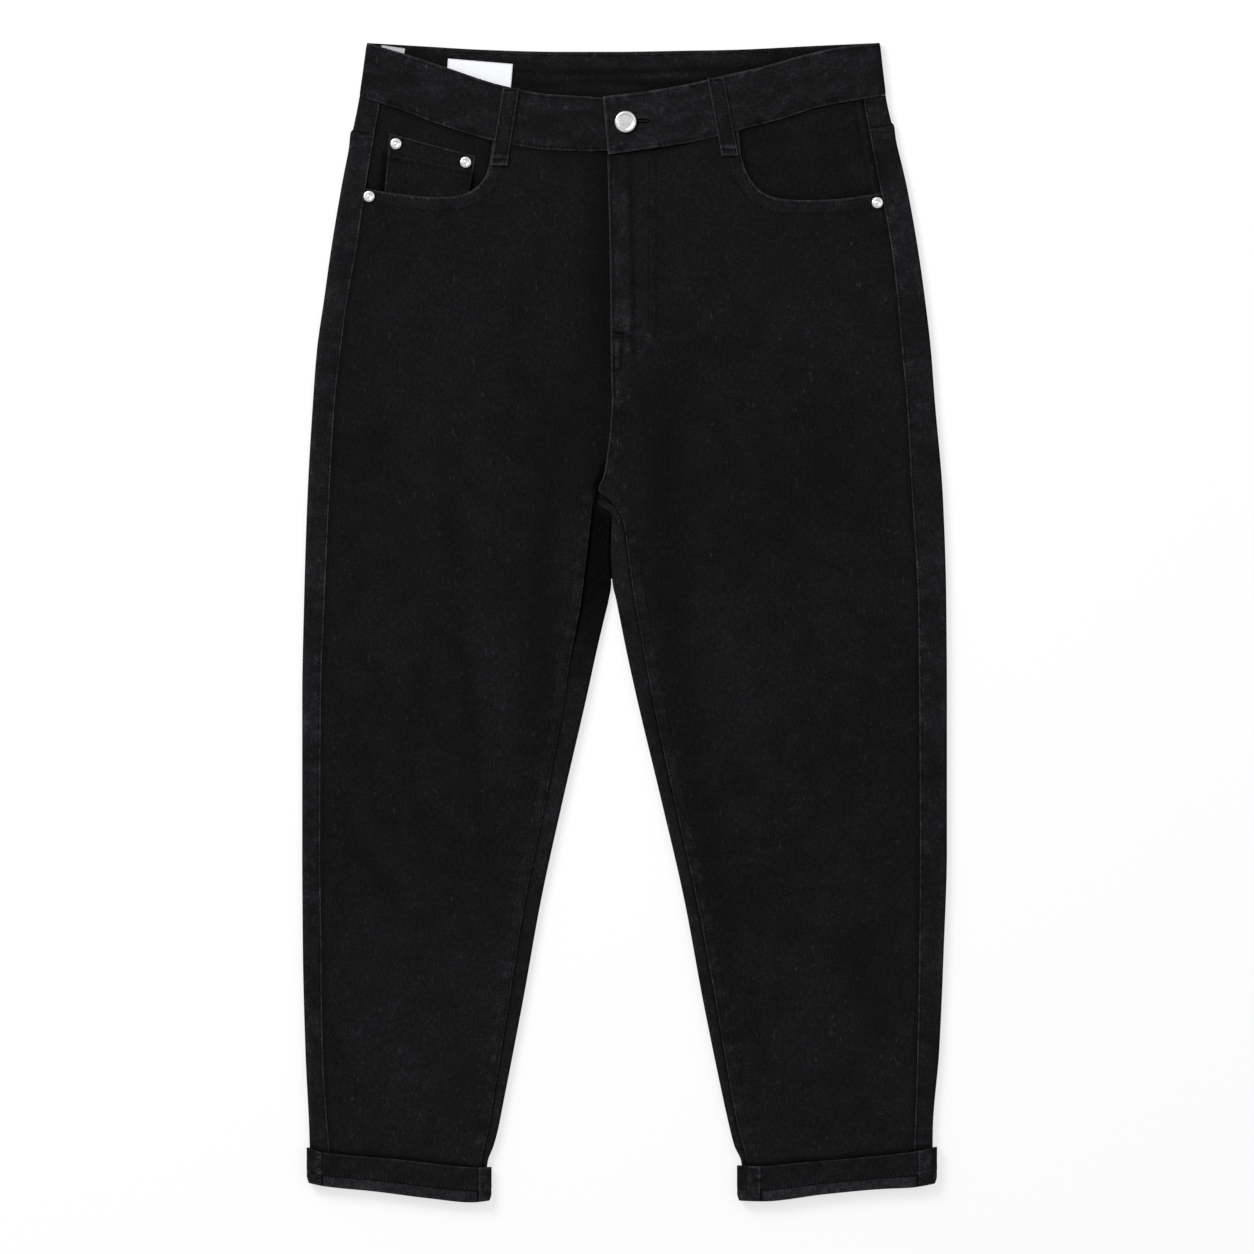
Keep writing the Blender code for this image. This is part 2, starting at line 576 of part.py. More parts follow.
def cut_pocket_mouth(panel, leg):
    """Takes the scooped pocket mouth out of the corner between the side and waist seams."""
    beyond = leg.mouth[0][0] + leg.out * MOUTH_CUT["beyond_side"]
    above = leg.mouth[-1][1] + MOUTH_CUT["above_waist"]
    outline = [(beyond, leg.mouth[0][1])] + leg.mouth + [(leg.mouth[-1][0], above), (beyond, above)]
    cutter_shape = bmesh.new()
    corners = []
    for x, y in outline:
        place = (x, y, MOUTH_CUT["bottom"])
        corners.append(cutter_shape.verts.new([value * MILLIMETRE for value in place]))
    base = cutter_shape.faces.new(corners)
    lifted = bmesh.ops.extrude_face_region(cutter_shape, geom=[base])
    top = [item for item in lifted["geom"] if isinstance(item, bmesh.types.BMVert)]
    rise = (MOUTH_CUT["top"] - MOUTH_CUT["bottom"]) * MILLIMETRE
    bmesh.ops.translate(cutter_shape, verts=top, vec=(0.0, 0.0, rise))
    bmesh.ops.recalc_face_normals(cutter_shape, faces=cutter_shape.faces)
    cutter = make_object("pocket_mouth_cutter_" + leg.name, cutter_shape, "facing")
    cutter.hide_render = True
    cutter.display_type = "WIRE"
    cut = panel.modifiers.new("pocket mouth", "BOOLEAN")
    cut.operation = "DIFFERENCE"
    cut.solver = "EXACT"
    cut.object = cutter


def back_row(leg, side_y, inner_y, shares, lift, below_fork, side_heights, inner_skew=(0.0, 0.0)):
    """One row of a back piece: side strip, outer fold, floor, inner fold, inner strip."""
    top_mid, floor_mid = side_heights
    seam_x = leg.side_seam(side_y) + leg.out * SEAM_GAP / 2
    outer = roll(leg.side_fold(side_y), side_y, top_mid, floor_mid, HALF, leg.out, True)
    strip_end = outer[0][0]
    row = [(mix(seam_x, strip_end, k / STRIP_POINTS), side_y, top_mid, 0.0, 1.0, 1.0)
           for k in range(STRIP_POINTS)]
    row += outer
    fold_y = inner_y + inner_skew[0]
    seam_y = inner_y + inner_skew[1]
    inner_top = mix(leg.inner_mid(fold_y), TUCKED_TOP_MID, tucked(inner_y))
    inner = roll(leg.inner_fold(fold_y), fold_y, inner_top, floor_mid, HALF, -leg.out, False)
    floor_end = inner[0][0] if below_fork else CENTRE_BACK + leg.out * SEAM_GAP / 2
    for t in shares:
        y = mix(side_y, inner_y, t)
        row.append((mix(outer[-1][0], floor_end, t), y, floor_mid + lift(t), 0.0, -1.0, 1.0))
    row.append((floor_end, inner_y, floor_mid + lift(1.0), 0.0, -1.0, 1.0))
    row += inner[1:]
    inner_seam = leg.inner_seam(seam_y) - leg.out * SEAM_GAP / 2
    for t in (0.5, 1.0):
        x = mix(inner[-1][0], inner_seam, t)
        row.append((x, mix(fold_y, seam_y, t), inner_top, 0.0, 1.0, 1.0))
    return row


def build_back(leg):
    """Back panel: lies on the surface and comes round both folds to the front's seams."""
    grid = []
    for inner_y in PANEL_ROWS:
        share = leg.share(inner_y)
        step = tucked(inner_y)
        heights = (mix(EDGE_MID, TUCKED_TOP_MID, step), mix(FLOOR_MID, TUCKED_FLOOR_MID, step))
        over_pocket = BACK_POCKET_ROWS[1] <= inner_y <= BACK_POCKET_ROWS[0]

        def lift(t, over_pocket=over_pocket):
            inside = BACK_POCKET_SPAN[0] <= t <= BACK_POCKET_SPAN[1]
            return BACK_POCKET_LIFT if over_pocket and inside else 0.0

        skew = TONGUE_SKEW[leg.name] if inner_y == TONGUE_TOP[leg.name] else (0.0, 0.0)
        side_y = leg.side_y(share)
        if inner_y == PANEL_ROWS[0]:
            side_y -= SEAM_GAP / 2
        grid.append(back_row(leg, side_y, inner_y, FLOOR_SHARES, lift,
                             inner_y <= CROTCH_FORK, heights, skew))

    floor_last = STRIP_POINTS + ROLL_STEPS + len(FLOOR_SHARES) + 1
    edge_of_tongue = floor_last + ROLL_STEPS // 2
    fork = PANEL_ROWS.index(CROTCH_FORK)
    tongue = PANEL_ROWS.index(TONGUE_TOP[leg.name])

    def present(i, j):
        if j < floor_last or i >= fork:
            return True
        return i >= tongue and j >= edge_of_tongue

    return wall("back_" + leg.name, grid, "denim", HALF, present)


def build_yoke(leg):
    """Back yoke: the wedge between the waistband and the back panel's V-shaped seam."""
    seam_share = leg.share(PANEL_ROWS[0])
    top_side = WAIST_BACK(leg.side_fold(YOKE_TOP_Y)) - 2 * SEAM_GAP
    top_centre = WAIST_BACK(CENTRE_BACK) - SEAM_GAP
    centre_back = STRIP_POINTS + ROLL_STEPS + len(YOKE_SHARES) + 1
    grid = []
    for t, lift_share in YOKE_ROWS:
        side_y = mix(top_side, leg.side_y(seam_share) + SEAM_GAP / 2, t)
        inner_y = mix(top_centre, PANEL_ROWS[0] + SEAM_GAP, t)

        def lift(across, amount=lift_share * BACK_LOOP_LIFT):
            return amount * (1.0 - fall(across, YOKE_LIFT_ENDS[::-1]))

        row = back_row(leg, side_y, inner_y, YOKE_SHARES, lift, False, (EDGE_MID, FLOOR_MID))
        shaped = []
        for k, (x, y, *rest) in enumerate(row[:centre_back + 1]):
            if k <= STRIP_POINTS:
                y = min(y, mix(leg.waist(x) - SEAM_GAP, y, t))
            elif k >= STRIP_POINTS + ROLL_STEPS:
                y = mix(WAIST_BACK(x) - SEAM_GAP, y, smooth(t / YOKE_WAIST_REACH))
            shaped.append((x, y, *rest))
        grid.append(shaped)
    return wall("yoke_" + leg.name, grid, "denim", HALF)


def band_lift(x):
    """The back of the waistband lies over the back belt loops, which lie on the surface."""
    return BACK_LOOP_LIFT * fall(abs(x - CENTRE_BACK), BACK_LIFT_ENDS)


def band_line(rows):
    top_y = edge_line(rows, "top_x", "top_y")
    bottom_y = edge_line(rows, "bottom_x", "bottom_y")
    across = curve(tuple((row[0], row[2]) for row in rows), 1)
    return top_y, bottom_y, across


def band_row(rows, top_x, mid, inset=0.0, normal=(0.0, 1.0)):
    """Points across the waistband, from its top edge to its bottom edge, at one place along it."""
    top_y, bottom_y, across = band_line(rows)
    bottom_x = across(top_x)
    points = []
    for share, thickness in BAND_EDGES:
        x = mix(top_x, bottom_x, share)
        y = mix(top_y(top_x) - inset, bottom_y(bottom_x) + inset, share)
        points.append((x, y, mid, normal[0], normal[1], thickness))
    return points


def band_roll(rows, way):
    """The waistband round one side: from the front over the fold to the back."""
    end = rows[0] if way < 0 else rows[-1]
    top_x, top_y, bottom_x, bottom_y = end
    edges = [roll(mix(top_x, bottom_x, share), mix(top_y, bottom_y, share), EDGE_MID,
                  HALF_DOUBLE, HALF_DOUBLE, way, True) for share, _ in BAND_EDGES]
    rolled = []
    for step in range(ROLL_STEPS + 1):
        rolled.append([edges[k][step][:5] + (BAND_EDGES[k][1],) for k in range(len(BAND_EDGES))])
    return rolled


def evenly(start, end, longest):
    count = max(1, math.ceil(abs(end - start) / longest))
    return [mix(start, end, k / count) for k in range(count + 1)]


def build_waistband():
    """One band all round: button end on top at centre front, the other end 37 mm beneath it."""
    front, back, slope = (BAND_STATION[name] for name in ("front", "back", "slope"))
    side_right = BAND_FRONT_RIGHT[0][0] + BAND_FOLD_REACH
    side_left = BAND_FRONT_LEFT[-1][0] - BAND_FOLD_REACH
    grid = []
    for x in evenly(BAND_FRONT_LEFT[0][0], side_left, front):
        lifted = WAIST_LAP_LIFT * fall(x, WAIST_LAP_ENDS)
        grid.append(band_row(BAND_FRONT_LEFT, x, EDGE_MID + lifted))
    grid += band_roll(BAND_FRONT_LEFT, 1)
    inner_lift, outer_lift = BACK_LIFT_ENDS
    stations = evenly(side_left, CENTRE_BACK + outer_lift, back)
    stations += evenly(CENTRE_BACK + outer_lift, CENTRE_BACK + inner_lift, slope)[1:]
    stations += evenly(CENTRE_BACK + inner_lift, CENTRE_BACK - inner_lift, back)[1:]
    stations += evenly(CENTRE_BACK - inner_lift, CENTRE_BACK - outer_lift, slope)[1:]
    stations += evenly(CENTRE_BACK - outer_lift, side_right, back)[1:]
    for x in stations:
        grid.append(band_row(BAND_BACK, x, HALF_DOUBLE + band_lift(x), normal=(0.0, -1.0)))
    grid += band_roll(BAND_FRONT_RIGHT, -1)[::-1]
    for x in evenly(side_right, BAND_FRONT_RIGHT[-1][0], front):
        hidden = UNDERLAP_INSET * smooth((x - UNDERLAP_FROM) / UNDERLAP_FADE)
        grid.append(band_row(BAND_FRONT_RIGHT, x, EDGE_MID, inset=hidden))
    return wall("waistband", grid, "denim", HALF_DOUBLE)


def facing_side(leg, y):
    """The facing's side edge, a seam's gap inside the side seam."""
    return leg.side_seam(y) - leg.out * SEAM_GAP / 2, y


def build_facing(leg):
    """Pocket facing: shows in the scoop and runs on a little way behind the front panel."""
    rows, columns = FACING_CELLS
    lower = []
    for (ax, ay), (bx, by) in zip(leg.mouth, leg.mouth[1:]):
        reach = leg.out * FACING_REACH / math.dist((ax, ay), (bx, by))
        lower.append(((ax + bx) / 2 - (by - ay) * reach, (ay + by) / 2 + (bx - ax) * reach))
    lower.append((lower[-1][0], leg.waist(lower[-1][0]) - WAIST_GAP))
    lower[0] = facing_side(leg, lower[0][1])
    bottom = resample(lower[:FACING_TURN + 1], columns + 1)
    inner = resample(lower[FACING_TURN:], rows + 1)[::-1]
    side = [facing_side(leg, mix(leg.side_top, bottom[0][1], i / rows)) for i in range(rows + 1)]
    top = []
    for j in range(columns + 1):
        x = mix(side[0][0], inner[0][0], j / columns)
        top.append((x, leg.waist(x) - WAIST_GAP))
    grid = []
    for i in range(rows + 1):
        v = i / rows
        row = []
        for j in range(columns + 1):
            u = j / columns
            spot = []
            for axis in (0, 1):
                down = mix(top[j][axis], bottom[j][axis], v)
                along = mix(side[i][axis], inner[i][axis], u)
                at_top = mix(top[0][axis], inner[0][axis], u)
                at_bottom = mix(bottom[0][axis], inner[-1][axis], u)
                spot.append(down + along - mix(at_top, at_bottom, v))
            row.append((spot[0], spot[1], facing_mid(leg, *spot), 0.0, 1.0, 1.0))
        grid.append(row)
    return wall("pocket_facing_" + leg.name, grid, "facing", HALF)


def patch(corners, u, v):
    """A point of a four-cornered piece, u from left to right and v from top to bottom."""
    top_left, top_right, low_left, low_right = corners
    return [mix(mix(top_left[axis], top_right[axis], u), mix(low_left[axis], low_right[axis], u), v)
            for axis in (0, 1)]


def build_coin_pocket():
    """Coin pocket: lies on the right facing, with a doubled hem along its top."""
    leg = LEGS["right"]
    single = COIN_HEM + COIN_HEM_STEP
    rows = [(0.0, 1.0), (COIN_HEM, 1.0)]
    rows += [(mix(single, 1.0, k / COIN_ROWS), COIN_SINGLE) for k in range(COIN_ROWS + 1)]
    grid = []
    for v, share in rows:
        row = []
        for j in range(COIN_COLUMNS + 1):
            x, y = patch(COIN_CORNERS, j / COIN_COLUMNS, v)
            base = facing_mid(leg, x, y) + HALF + SEAM_GAP
            row.append((x, y, base + share * COIN_THICK / 2, 0.0, 1.0, share))
        grid.append(row)
    return wall("coin_pocket", grid, "denim", COIN_THICK / 2)


def build_back_pocket(leg):
    """Back pocket: under the back panel, flush with the surface, pointed at the bottom."""
    low, high = BACK_POCKET_SPAN[0] + BACK_POCKET_INSET, BACK_POCKET_SPAN[1] - BACK_POCKET_INSET
    top_y = BACK_POCKET_ROWS[0] - BACK_POCKET_CLEAR[0]
    bottom_y = BACK_POCKET_ROWS[1] + BACK_POCKET_TIP + BACK_POCKET_CLEAR[1]
    grid = []
    for v in (0.0, 0.5, 0.82, 1.0):
        inner_y = mix(top_y, bottom_y, v)
        side_y = leg.side_y(leg.share(inner_y))
        start = leg.side_fold(side_y) - leg.out * (EDGE_MID / 2 + HALF)
        row = []
        for u in (0.0, 0.25, 0.5, 0.75, 1.0):
            t = mix(low + BACK_POCKET_TAPER * v, high - BACK_POCKET_TAPER * v, u)
            tip = BACK_POCKET_TIP * (1.0 - abs(2.0 * u - 1.0)) if v == 1.0 else 0.0
            y = mix(side_y, inner_y, t) - tip
            row.append((mix(start, CENTRE_BACK, t), y, BACK_POCKET_THICK / 2, 0.0, 1.0, 1.0))
        grid.append(row)
    return wall("back_pocket_" + leg.name, grid, "denim", BACK_POCKET_THICK / 2)


def surface_top(x, y):
    """Top of what lies under a front belt loop: the waistband, or the panel below it."""
    leg = LEGS["right" if x < 0 else "left"]
    on_band = y > leg.waist(x) - BAND_EDGE_REACH
    band = EDGE_MID + HALF_DOUBLE if on_band else 0.0
    return max(band, panel_mid(leg, x, min(y, leg.waist(x))) + HALF)


def build_front_loop(name, ends):
    """Front belt loop: tacked at the band's top edge and, folded under, below the band."""
    (top_x, top_y), (low_x, low_y) = ends
    grid = []
    for t, share in FRONT_LOOP_ROWS:
        x, y = mix(top_x, low_x, t), mix(top_y, low_y, t)
        spots = [x + side * BELT_LOOP_WIDTH / 2 for side in BELT_LOOP_SPOTS]
        base = max(surface_top(spot, y + reach) for spot in spots for reach in BELT_LOOP_CLEAR)
        base += SEAM_GAP
        row = [(spot, y, base + share * BELT_LOOP_THICK / 2, 0.0, 1.0, share) for spot in spots]
        grid.append(row)
    return wall(name, grid, "denim", BELT_LOOP_THICK / 2)


def build_back_loop(name, x):
    """Back belt loop: flat on the surface, under the lifted stretch of the band."""
    grid = []
    for above_seam in (BACK_LOOP_TOP, BACK_LOOP_BEND, BACK_LOOP_TOP - BACK_LOOP_LENGTH):
        y = WAIST_BACK(x) + above_seam
        row = [(x + side * BELT_LOOP_WIDTH / 2, y, BACK_LOOP_THICK / 2, 0.0, 1.0, 1.0)
               for side in (-1.0, 0.0, 1.0)]
        grid.append(row)
    return wall(name, grid, "denim", BACK_LOOP_THICK / 2)


def build_cuff(name, cuff):
    """Turned-up cuff: a flattened ring of doubled cloth round the leg's end."""
    top_line, bottom_line = curve(cuff["top"], 1), curve(cuff["bottom"], 1)
    low_x, high_x = cuff["folds"]
    radius = (CUFF_TOP_MID - HALF_DOUBLE) / 2
    reach = radius + HALF_DOUBLE
    grid = []
    for share, thickness in CUFF_ROWS:
        def y_at(x, share=share):
            return mix(top_line(x), bottom_line(x), share)

        rounded = CUFF_ROUNDING * smooth((share - CUFF_ROUNDED_FROM) / (1.0 - CUFF_ROUNDED_FROM))
        left_x, right_x = low_x + rounded, high_x - rounded
        row = []
        for step in range(CUFF_STEPS):
            x = mix(left_x + reach, right_x - reach, step / CUFF_STEPS)
            row.append((x, y_at(x), CUFF_TOP_MID, 0.0, 1.0, thickness))
        row += [(x, y_at(x), z, nx, nz, thickness) for x, _, z, nx, nz, _ in
                roll(right_x, 0.0, CUFF_TOP_MID, HALF_DOUBLE, HALF_DOUBLE, 1, True)]
        for step in range(1, CUFF_STEPS):
            x = mix(right_x - reach, left_x + reach, step / CUFF_STEPS)
            row.append((x, y_at(x), HALF_DOUBLE, 0.0, -1.0, thickness))
        row += [(x, y_at(x), z, nx, nz, thickness) for x, _, z, nx, nz, _ in
                roll(left_x, 0.0, CUFF_TOP_MID, HALF_DOUBLE, HALF_DOUBLE, -1, False)[:-1]]
        grid.append(row)
    return wall(name, grid, "denim", HALF_DOUBLE, ring=True)


def build_zip():
    """Zip: hidden behind the fly, so only its tape's strip is made."""
    leg = LEGS["right"]
    grid = []
    for k in range(ZIP_ROWS + 1):
        y = mix(ZIP["top"], ZIP["bottom"], k / ZIP_ROWS)
        centre = leg.inner_seam(y) + ZIP["off_centre"]
        row = []
        for side in (-1.0, -0.33, 0.33, 1.0):
            x = centre + side * ZIP["half_width"]
            lowest = min(front_mid(leg, x + shift, y) for shift in ZIP_CLEAR)
            mid = lowest - LAP - HALF - SEAM_GAP - ZIP["thick"] / 2
            row.append((x, y, mid, 0.0, 1.0, 1.0))
        grid.append(row)
    return wall("zip", grid, "zip", ZIP["thick"] / 2)


def build_flat_piece(name, piece, finish):
    """A small woven piece sewn flat on the inside of the back waistband."""
    grid = []
    for v in (0.0, 0.5, 1.0):
        row = []
        for u in (0.0, 0.25, 0.5, 0.75, 1.0):
            x, y = patch(piece["corners"], u, v)
            mid = DOUBLE + band_lift(x) + SEAM_GAP + piece["thick"] / 2
            row.append((x, y, mid, 0.0, 1.0, 1.0))
        grid.append(row)
    return wall(name, grid, finish, piece["thick"] / 2)


def turned(name, centre, profile, finish, sides):
    """A round metal piece turned from a profile of (radius, height), bottom to top."""
    x, y, z = centre
    shape = bmesh.new()
    rings = []
    for radius, height in profile:
        spots = []
        for k in range(sides):
            angle = 2.0 * math.pi * k / sides
            place = (x + radius * math.cos(angle), y + radius * math.sin(angle), z + height)
            spots.append(shape.verts.new([value * MILLIMETRE for value in place]))
        rings.append(spots)
    for lower, upper in zip(rings, rings[1:]):
        for k in range(sides):
            following = (k + 1) % sides
            shape.faces.new((lower[k], lower[following], upper[following], upper[k]))
    shape.faces.new(rings[0][::-1])
    shape.faces.new(rings[-1])
    bmesh.ops.recalc_face_normals(shape, faces=shape.faces)
    made = make_object(name, shape, finish)
    made.data.shade_smooth()
    made.data.set_sharp_from_angle(angle=math.radians(40.0))
    return made


def scaled(profile, size):
    return [(radius * size["radius"], height * size["height"]) for radius, height in profile]


def build_button():
    """Jeans button: on the waistband's lapped end, its raised rim round a sunk face."""
    base = EDGE_MID + WAIST_LAP_LIFT + HALF_DOUBLE + SEAM_GAP
    turned("button", (BUTTON["x"], BUTTON["y"], base), scaled(BUTTON_PROFILE, BUTTON), "metal", 28)


def build_rivets():
    """Four rivets: two at the coin pocket's corners, one at the outer end of each mouth."""
    spread = (-RIVET["radius"], 0.0, RIVET["radius"])
    for number, (x, y) in enumerate(RIVETS, start=1):
        on_coin_pocket = number <= COIN_RIVETS
        leg = LEGS["right" if x < 0 else "left"]
        height_at = facing_mid if on_coin_pocket else panel_mid
        base = max(height_at(leg, x + dx, y + dy) for dx in spread for dy in spread)
        base += HALF + SEAM_GAP
        if on_coin_pocket:
            base += COIN_THICK + SEAM_GAP
        turned("rivet_%d" % number, (x, y, base), scaled(RIVET_PROFILE, RIVET), "metal", 16)


def main():
    clear_scene()
    for leg in LEGS.values():
        build_front(leg)
        build_back(leg)
        build_yoke(leg)
        build_facing(leg)
        build_back_pocket(leg)
    build_waistband()
    build_coin_pocket()
    for name, ends in FRONT_LOOPS.items():
        build_front_loop(name, ends)
    for name, x in BACK_LOOPS.items():
        build_back_loop(name, x)
    build_cuff("cuff_right", RIGHT_CUFF)
    build_cuff("cuff_left", LEFT_CUFF)
    build_zip()
    build_flat_piece("waist_label", LABEL, "label")
    build_flat_piece("side_tab", SIDE_TAB, "tab")
    build_button()
    build_rivets()


main()
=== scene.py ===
# %% [markdown]
# # Mom jeans, laid flat
# Washed black jeans lie front up on a pale floor, seen from straight above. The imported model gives
# the place of every cut piece. Here each piece is made again as a thin shell of denim with its soft
# folds, its puckered seams, its worn edges and its sewing.

# %% The frame and the units
import math

import bpy
import numpy as np
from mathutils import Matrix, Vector
from mathutils.bvhtree import BVHTree


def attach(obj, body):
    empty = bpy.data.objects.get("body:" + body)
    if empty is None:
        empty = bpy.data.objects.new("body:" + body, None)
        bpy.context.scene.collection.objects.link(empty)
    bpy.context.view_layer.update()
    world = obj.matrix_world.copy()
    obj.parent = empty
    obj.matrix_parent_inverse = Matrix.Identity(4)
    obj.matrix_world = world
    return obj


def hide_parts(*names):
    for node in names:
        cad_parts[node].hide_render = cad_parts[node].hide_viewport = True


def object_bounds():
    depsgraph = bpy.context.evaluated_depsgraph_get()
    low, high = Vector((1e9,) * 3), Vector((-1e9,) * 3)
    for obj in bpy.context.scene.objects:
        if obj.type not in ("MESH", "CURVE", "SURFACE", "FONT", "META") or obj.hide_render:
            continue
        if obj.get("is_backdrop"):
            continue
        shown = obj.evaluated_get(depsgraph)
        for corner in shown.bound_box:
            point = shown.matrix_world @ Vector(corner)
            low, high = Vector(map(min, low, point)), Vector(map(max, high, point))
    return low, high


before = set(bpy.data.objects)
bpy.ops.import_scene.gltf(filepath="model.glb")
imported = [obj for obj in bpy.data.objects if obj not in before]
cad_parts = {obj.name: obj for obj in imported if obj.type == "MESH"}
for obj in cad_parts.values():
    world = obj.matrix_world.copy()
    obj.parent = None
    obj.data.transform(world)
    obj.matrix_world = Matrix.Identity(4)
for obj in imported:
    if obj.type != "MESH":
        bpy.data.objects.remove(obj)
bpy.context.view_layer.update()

MM = 0.001               # all tables below are in millimetres

# %% [markdown]
# ## Camera, floor and light
# The photograph is a flat lay, so the camera looks straight down. A long lens far away keeps the
# outline true. The floor is plain white and glows a little, as a backlit table does. A wide soft box
# lights from the upper left, a weaker one from the right, and a pale sky fills in the shadows.

# %% Camera and studio
PIXELS = 1254            # the photograph's width
PIXEL = 0.78             # millimetres that one of its pixels covers
VIEW_CENTRE = (1.9, -3.5)
CAMERA_HEIGHT = 9.0      # metres
SENSOR = 36.0
SKY = (0.97, 0.985, 1.0, 1.0)
SKY_STRENGTH = 0.52
FLOOR_SIZE = 12.0
FLOOR_DROP = 0.0004      # the floor lies this far below the cloth, in metres
FLOOR_LOOK = {
    "Base Color": (0.35, 0.35, 0.35, 1.0), "Emission Color": (1.0, 1.0, 1.0, 1.0),
    "Emission Strength": 0.64, "Roughness": 0.9, "Specular IOR Level": 0.0,
}


def aim(thing, target):
    thing.rotation_euler = (Vector(target) - thing.location).to_track_quat("-Z", "Y").to_euler()


camera = bpy.data.objects.new("camera", bpy.data.cameras.new("camera"))
bpy.context.scene.collection.objects.link(camera)
camera.data.sensor_width = SENSOR
camera.data.lens = SENSOR * CAMERA_HEIGHT / (PIXELS * PIXEL * MM)
camera.location = (VIEW_CENTRE[0] * MM, VIEW_CENTRE[1] * MM, CAMERA_HEIGHT)
bpy.context.scene.camera = camera

SOFTBOXES = (
    # name, place in metres, size, watts
    ("key", (-1.9, 2.0, 2.1), 1.5, 100.0),
    ("fill", (1.9, 0.6, 2.6), 2.2, 14.0),
)
for name, place, size, watts in SOFTBOXES:
    box = bpy.data.objects.new(name, bpy.data.lights.new(name, "AREA"))
    bpy.context.scene.collection.objects.link(box)
    box.data.size = size
    box.data.energy = watts
    box.location = place
    aim(box, (0.0, 0.0, 0.0))

world = bpy.data.worlds.new("studio")
bpy.context.scene.world = world
world.use_nodes = True
background = world.node_tree.nodes["Background"]
background.inputs["Color"].default_value = SKY
background.inputs["Strength"].default_value = SKY_STRENGTH
bpy.context.scene.view_settings.view_transform = "Standard"

bpy.ops.mesh.primitive_plane_add(size=FLOOR_SIZE, location=(0.0, 0.0, -FLOOR_DROP))
floor = bpy.context.active_object
floor.name = "floor"
floor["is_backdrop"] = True
white = bpy.data.materials.new("floor_white")
white.use_nodes = True
for socket, value in FLOOR_LOOK.items():
    white.node_tree.nodes["Principled BSDF"].inputs[socket].default_value = value
floor.data.materials.append(white)
print("camera lens", round(camera.data.lens, 1))

# %% [markdown]
# ## A cutter's curve tools
# Every line of the garment is a smooth curve through a few measured points. The same small set of
# tools serves all of them: a curve that never overshoots, a soft step, and a smooth noise that is
# the same on every run, because it hashes whole numbers.

# %% Curves, steps and noise


def mix(low, high, share):
    return low + (high - low) * share


def smooth(share):
    share = np.clip(share, 0.0, 1.0)
    return share * share * (3.0 - 2.0 * share)


def fall(value, ends):
    """1 below the first end, 0 above the second, with a smooth slope between."""
    return smooth((ends[1] - value) / (ends[1] - ends[0]))


def bump(value, middle, width):
    """A soft hump of height 1."""
    return np.exp(-((value - middle) / width) ** 2)


def curve(rows, column=1):
    """A curve through one column of a table, read by its first column."""
    points = np.array(sorted((row[0], row[column]) for row in rows))
    xs, ys = points.T
    steps = np.diff(ys) / np.diff(xs)
    slopes = [steps[0]]
    for before, after in zip(steps, steps[1:]):
        slopes.append(0.0 if before * after <= 0.0 else 2.0 * before * after / (before + after))
    slopes = np.array(slopes + [steps[-1]])

    def value(x):
        x = np.clip(np.asarray(x, float), xs[0], xs[-1])
        i = np.clip(np.searchsorted(xs, x, side="left") - 1, 0, len(xs) - 2)
        width = xs[i + 1] - xs[i]
        t = (x - xs[i]) / width
        return ((2 * t**3 - 3 * t**2 + 1) * ys[i] + (t**3 - 2 * t**2 + t) * width * slopes[i]
                + (3 * t**2 - 2 * t**3) * ys[i + 1] + (t**3 - t**2) * width * slopes[i + 1])

    return value


def resample(points, spacing=None, count=None):
    """Evenly spaced points along a smooth line through the given points."""
    points = np.array(points, float)
    along = np.concatenate([[0.0], np.cumsum(np.hypot(*np.diff(points, axis=0).T))])
    count = count or max(2, round(along[-1] / spacing) + 1)
    spots = np.linspace(0.0, along[-1], count)
    return np.stack([curve(np.stack([along, points[:, k]], 1))(spots) for k in (0, 1)], axis=1)


def nearest(line, x, y):
    """Distance from each point to a line, and the nearest point on it."""
    best = np.full(np.shape(x), 1e9)
    near_x, near_y = np.zeros(np.shape(x)), np.zeros(np.shape(x))
    for (ax, ay), (bx, by) in zip(line, line[1:]):
        length = (bx - ax) ** 2 + (by - ay) ** 2
        t = np.clip(((x - ax) * (bx - ax) + (y - ay) * (by - ay)) / length, 0.0, 1.0)
        px, py = mix(ax, bx, t), mix(ay, by, t)
        away = np.hypot(x - px, y - py)
        closer = away < best
        best = np.where(closer, away, best)
        near_x, near_y = np.where(closer, px, near_x), np.where(closer, py, near_y)
    return best, near_x, near_y


def inside(outline, x, y):
    """Whether each point lies within a closed outline."""
    found = np.zeros(np.shape(x), bool)
    for (ax, ay), (bx, by) in zip(outline, outline[1:] + outline[:1]):
        if ay != by:
            found ^= ((ay > y) != (by > y)) & (x < ax + (y - ay) * (bx - ax) / (by - ay))
    return found


def noise(x, y, seed):
    """Smooth noise from -1 to 1, one hump to a unit."""
    x, y = np.broadcast_arrays(np.asarray(x, float), np.asarray(y, float))
    ix, iy = np.floor(x).astype(np.int64), np.floor(y).astype(np.int64)
    fx, fy = smooth(x - ix), smooth(y - iy)

    def corner(dx, dy):
        h = ((ix + dx) * 374761393 + (iy + dy) * 668265263 + seed * 1442695041) & 0xFFFFFFFF
        h = ((h ^ (h >> 13)) * 1274126177) & 0xFFFFFFFF
        return ((h ^ (h >> 16)) & 0xFFFF) / 32767.5 - 1.0

    return mix(mix(corner(0, 0), corner(1, 0), fx), mix(corner(0, 1), corner(1, 1), fx), fy)


# %% [markdown]
# ## The lines of the cut
# These are the lines that the model is laid out on: the outline and the side seams, centre front
# and the inner leg seams, the waistband's edges and the pocket mouths. Right and left are the
# wearer's, so the right leg lies at -X.

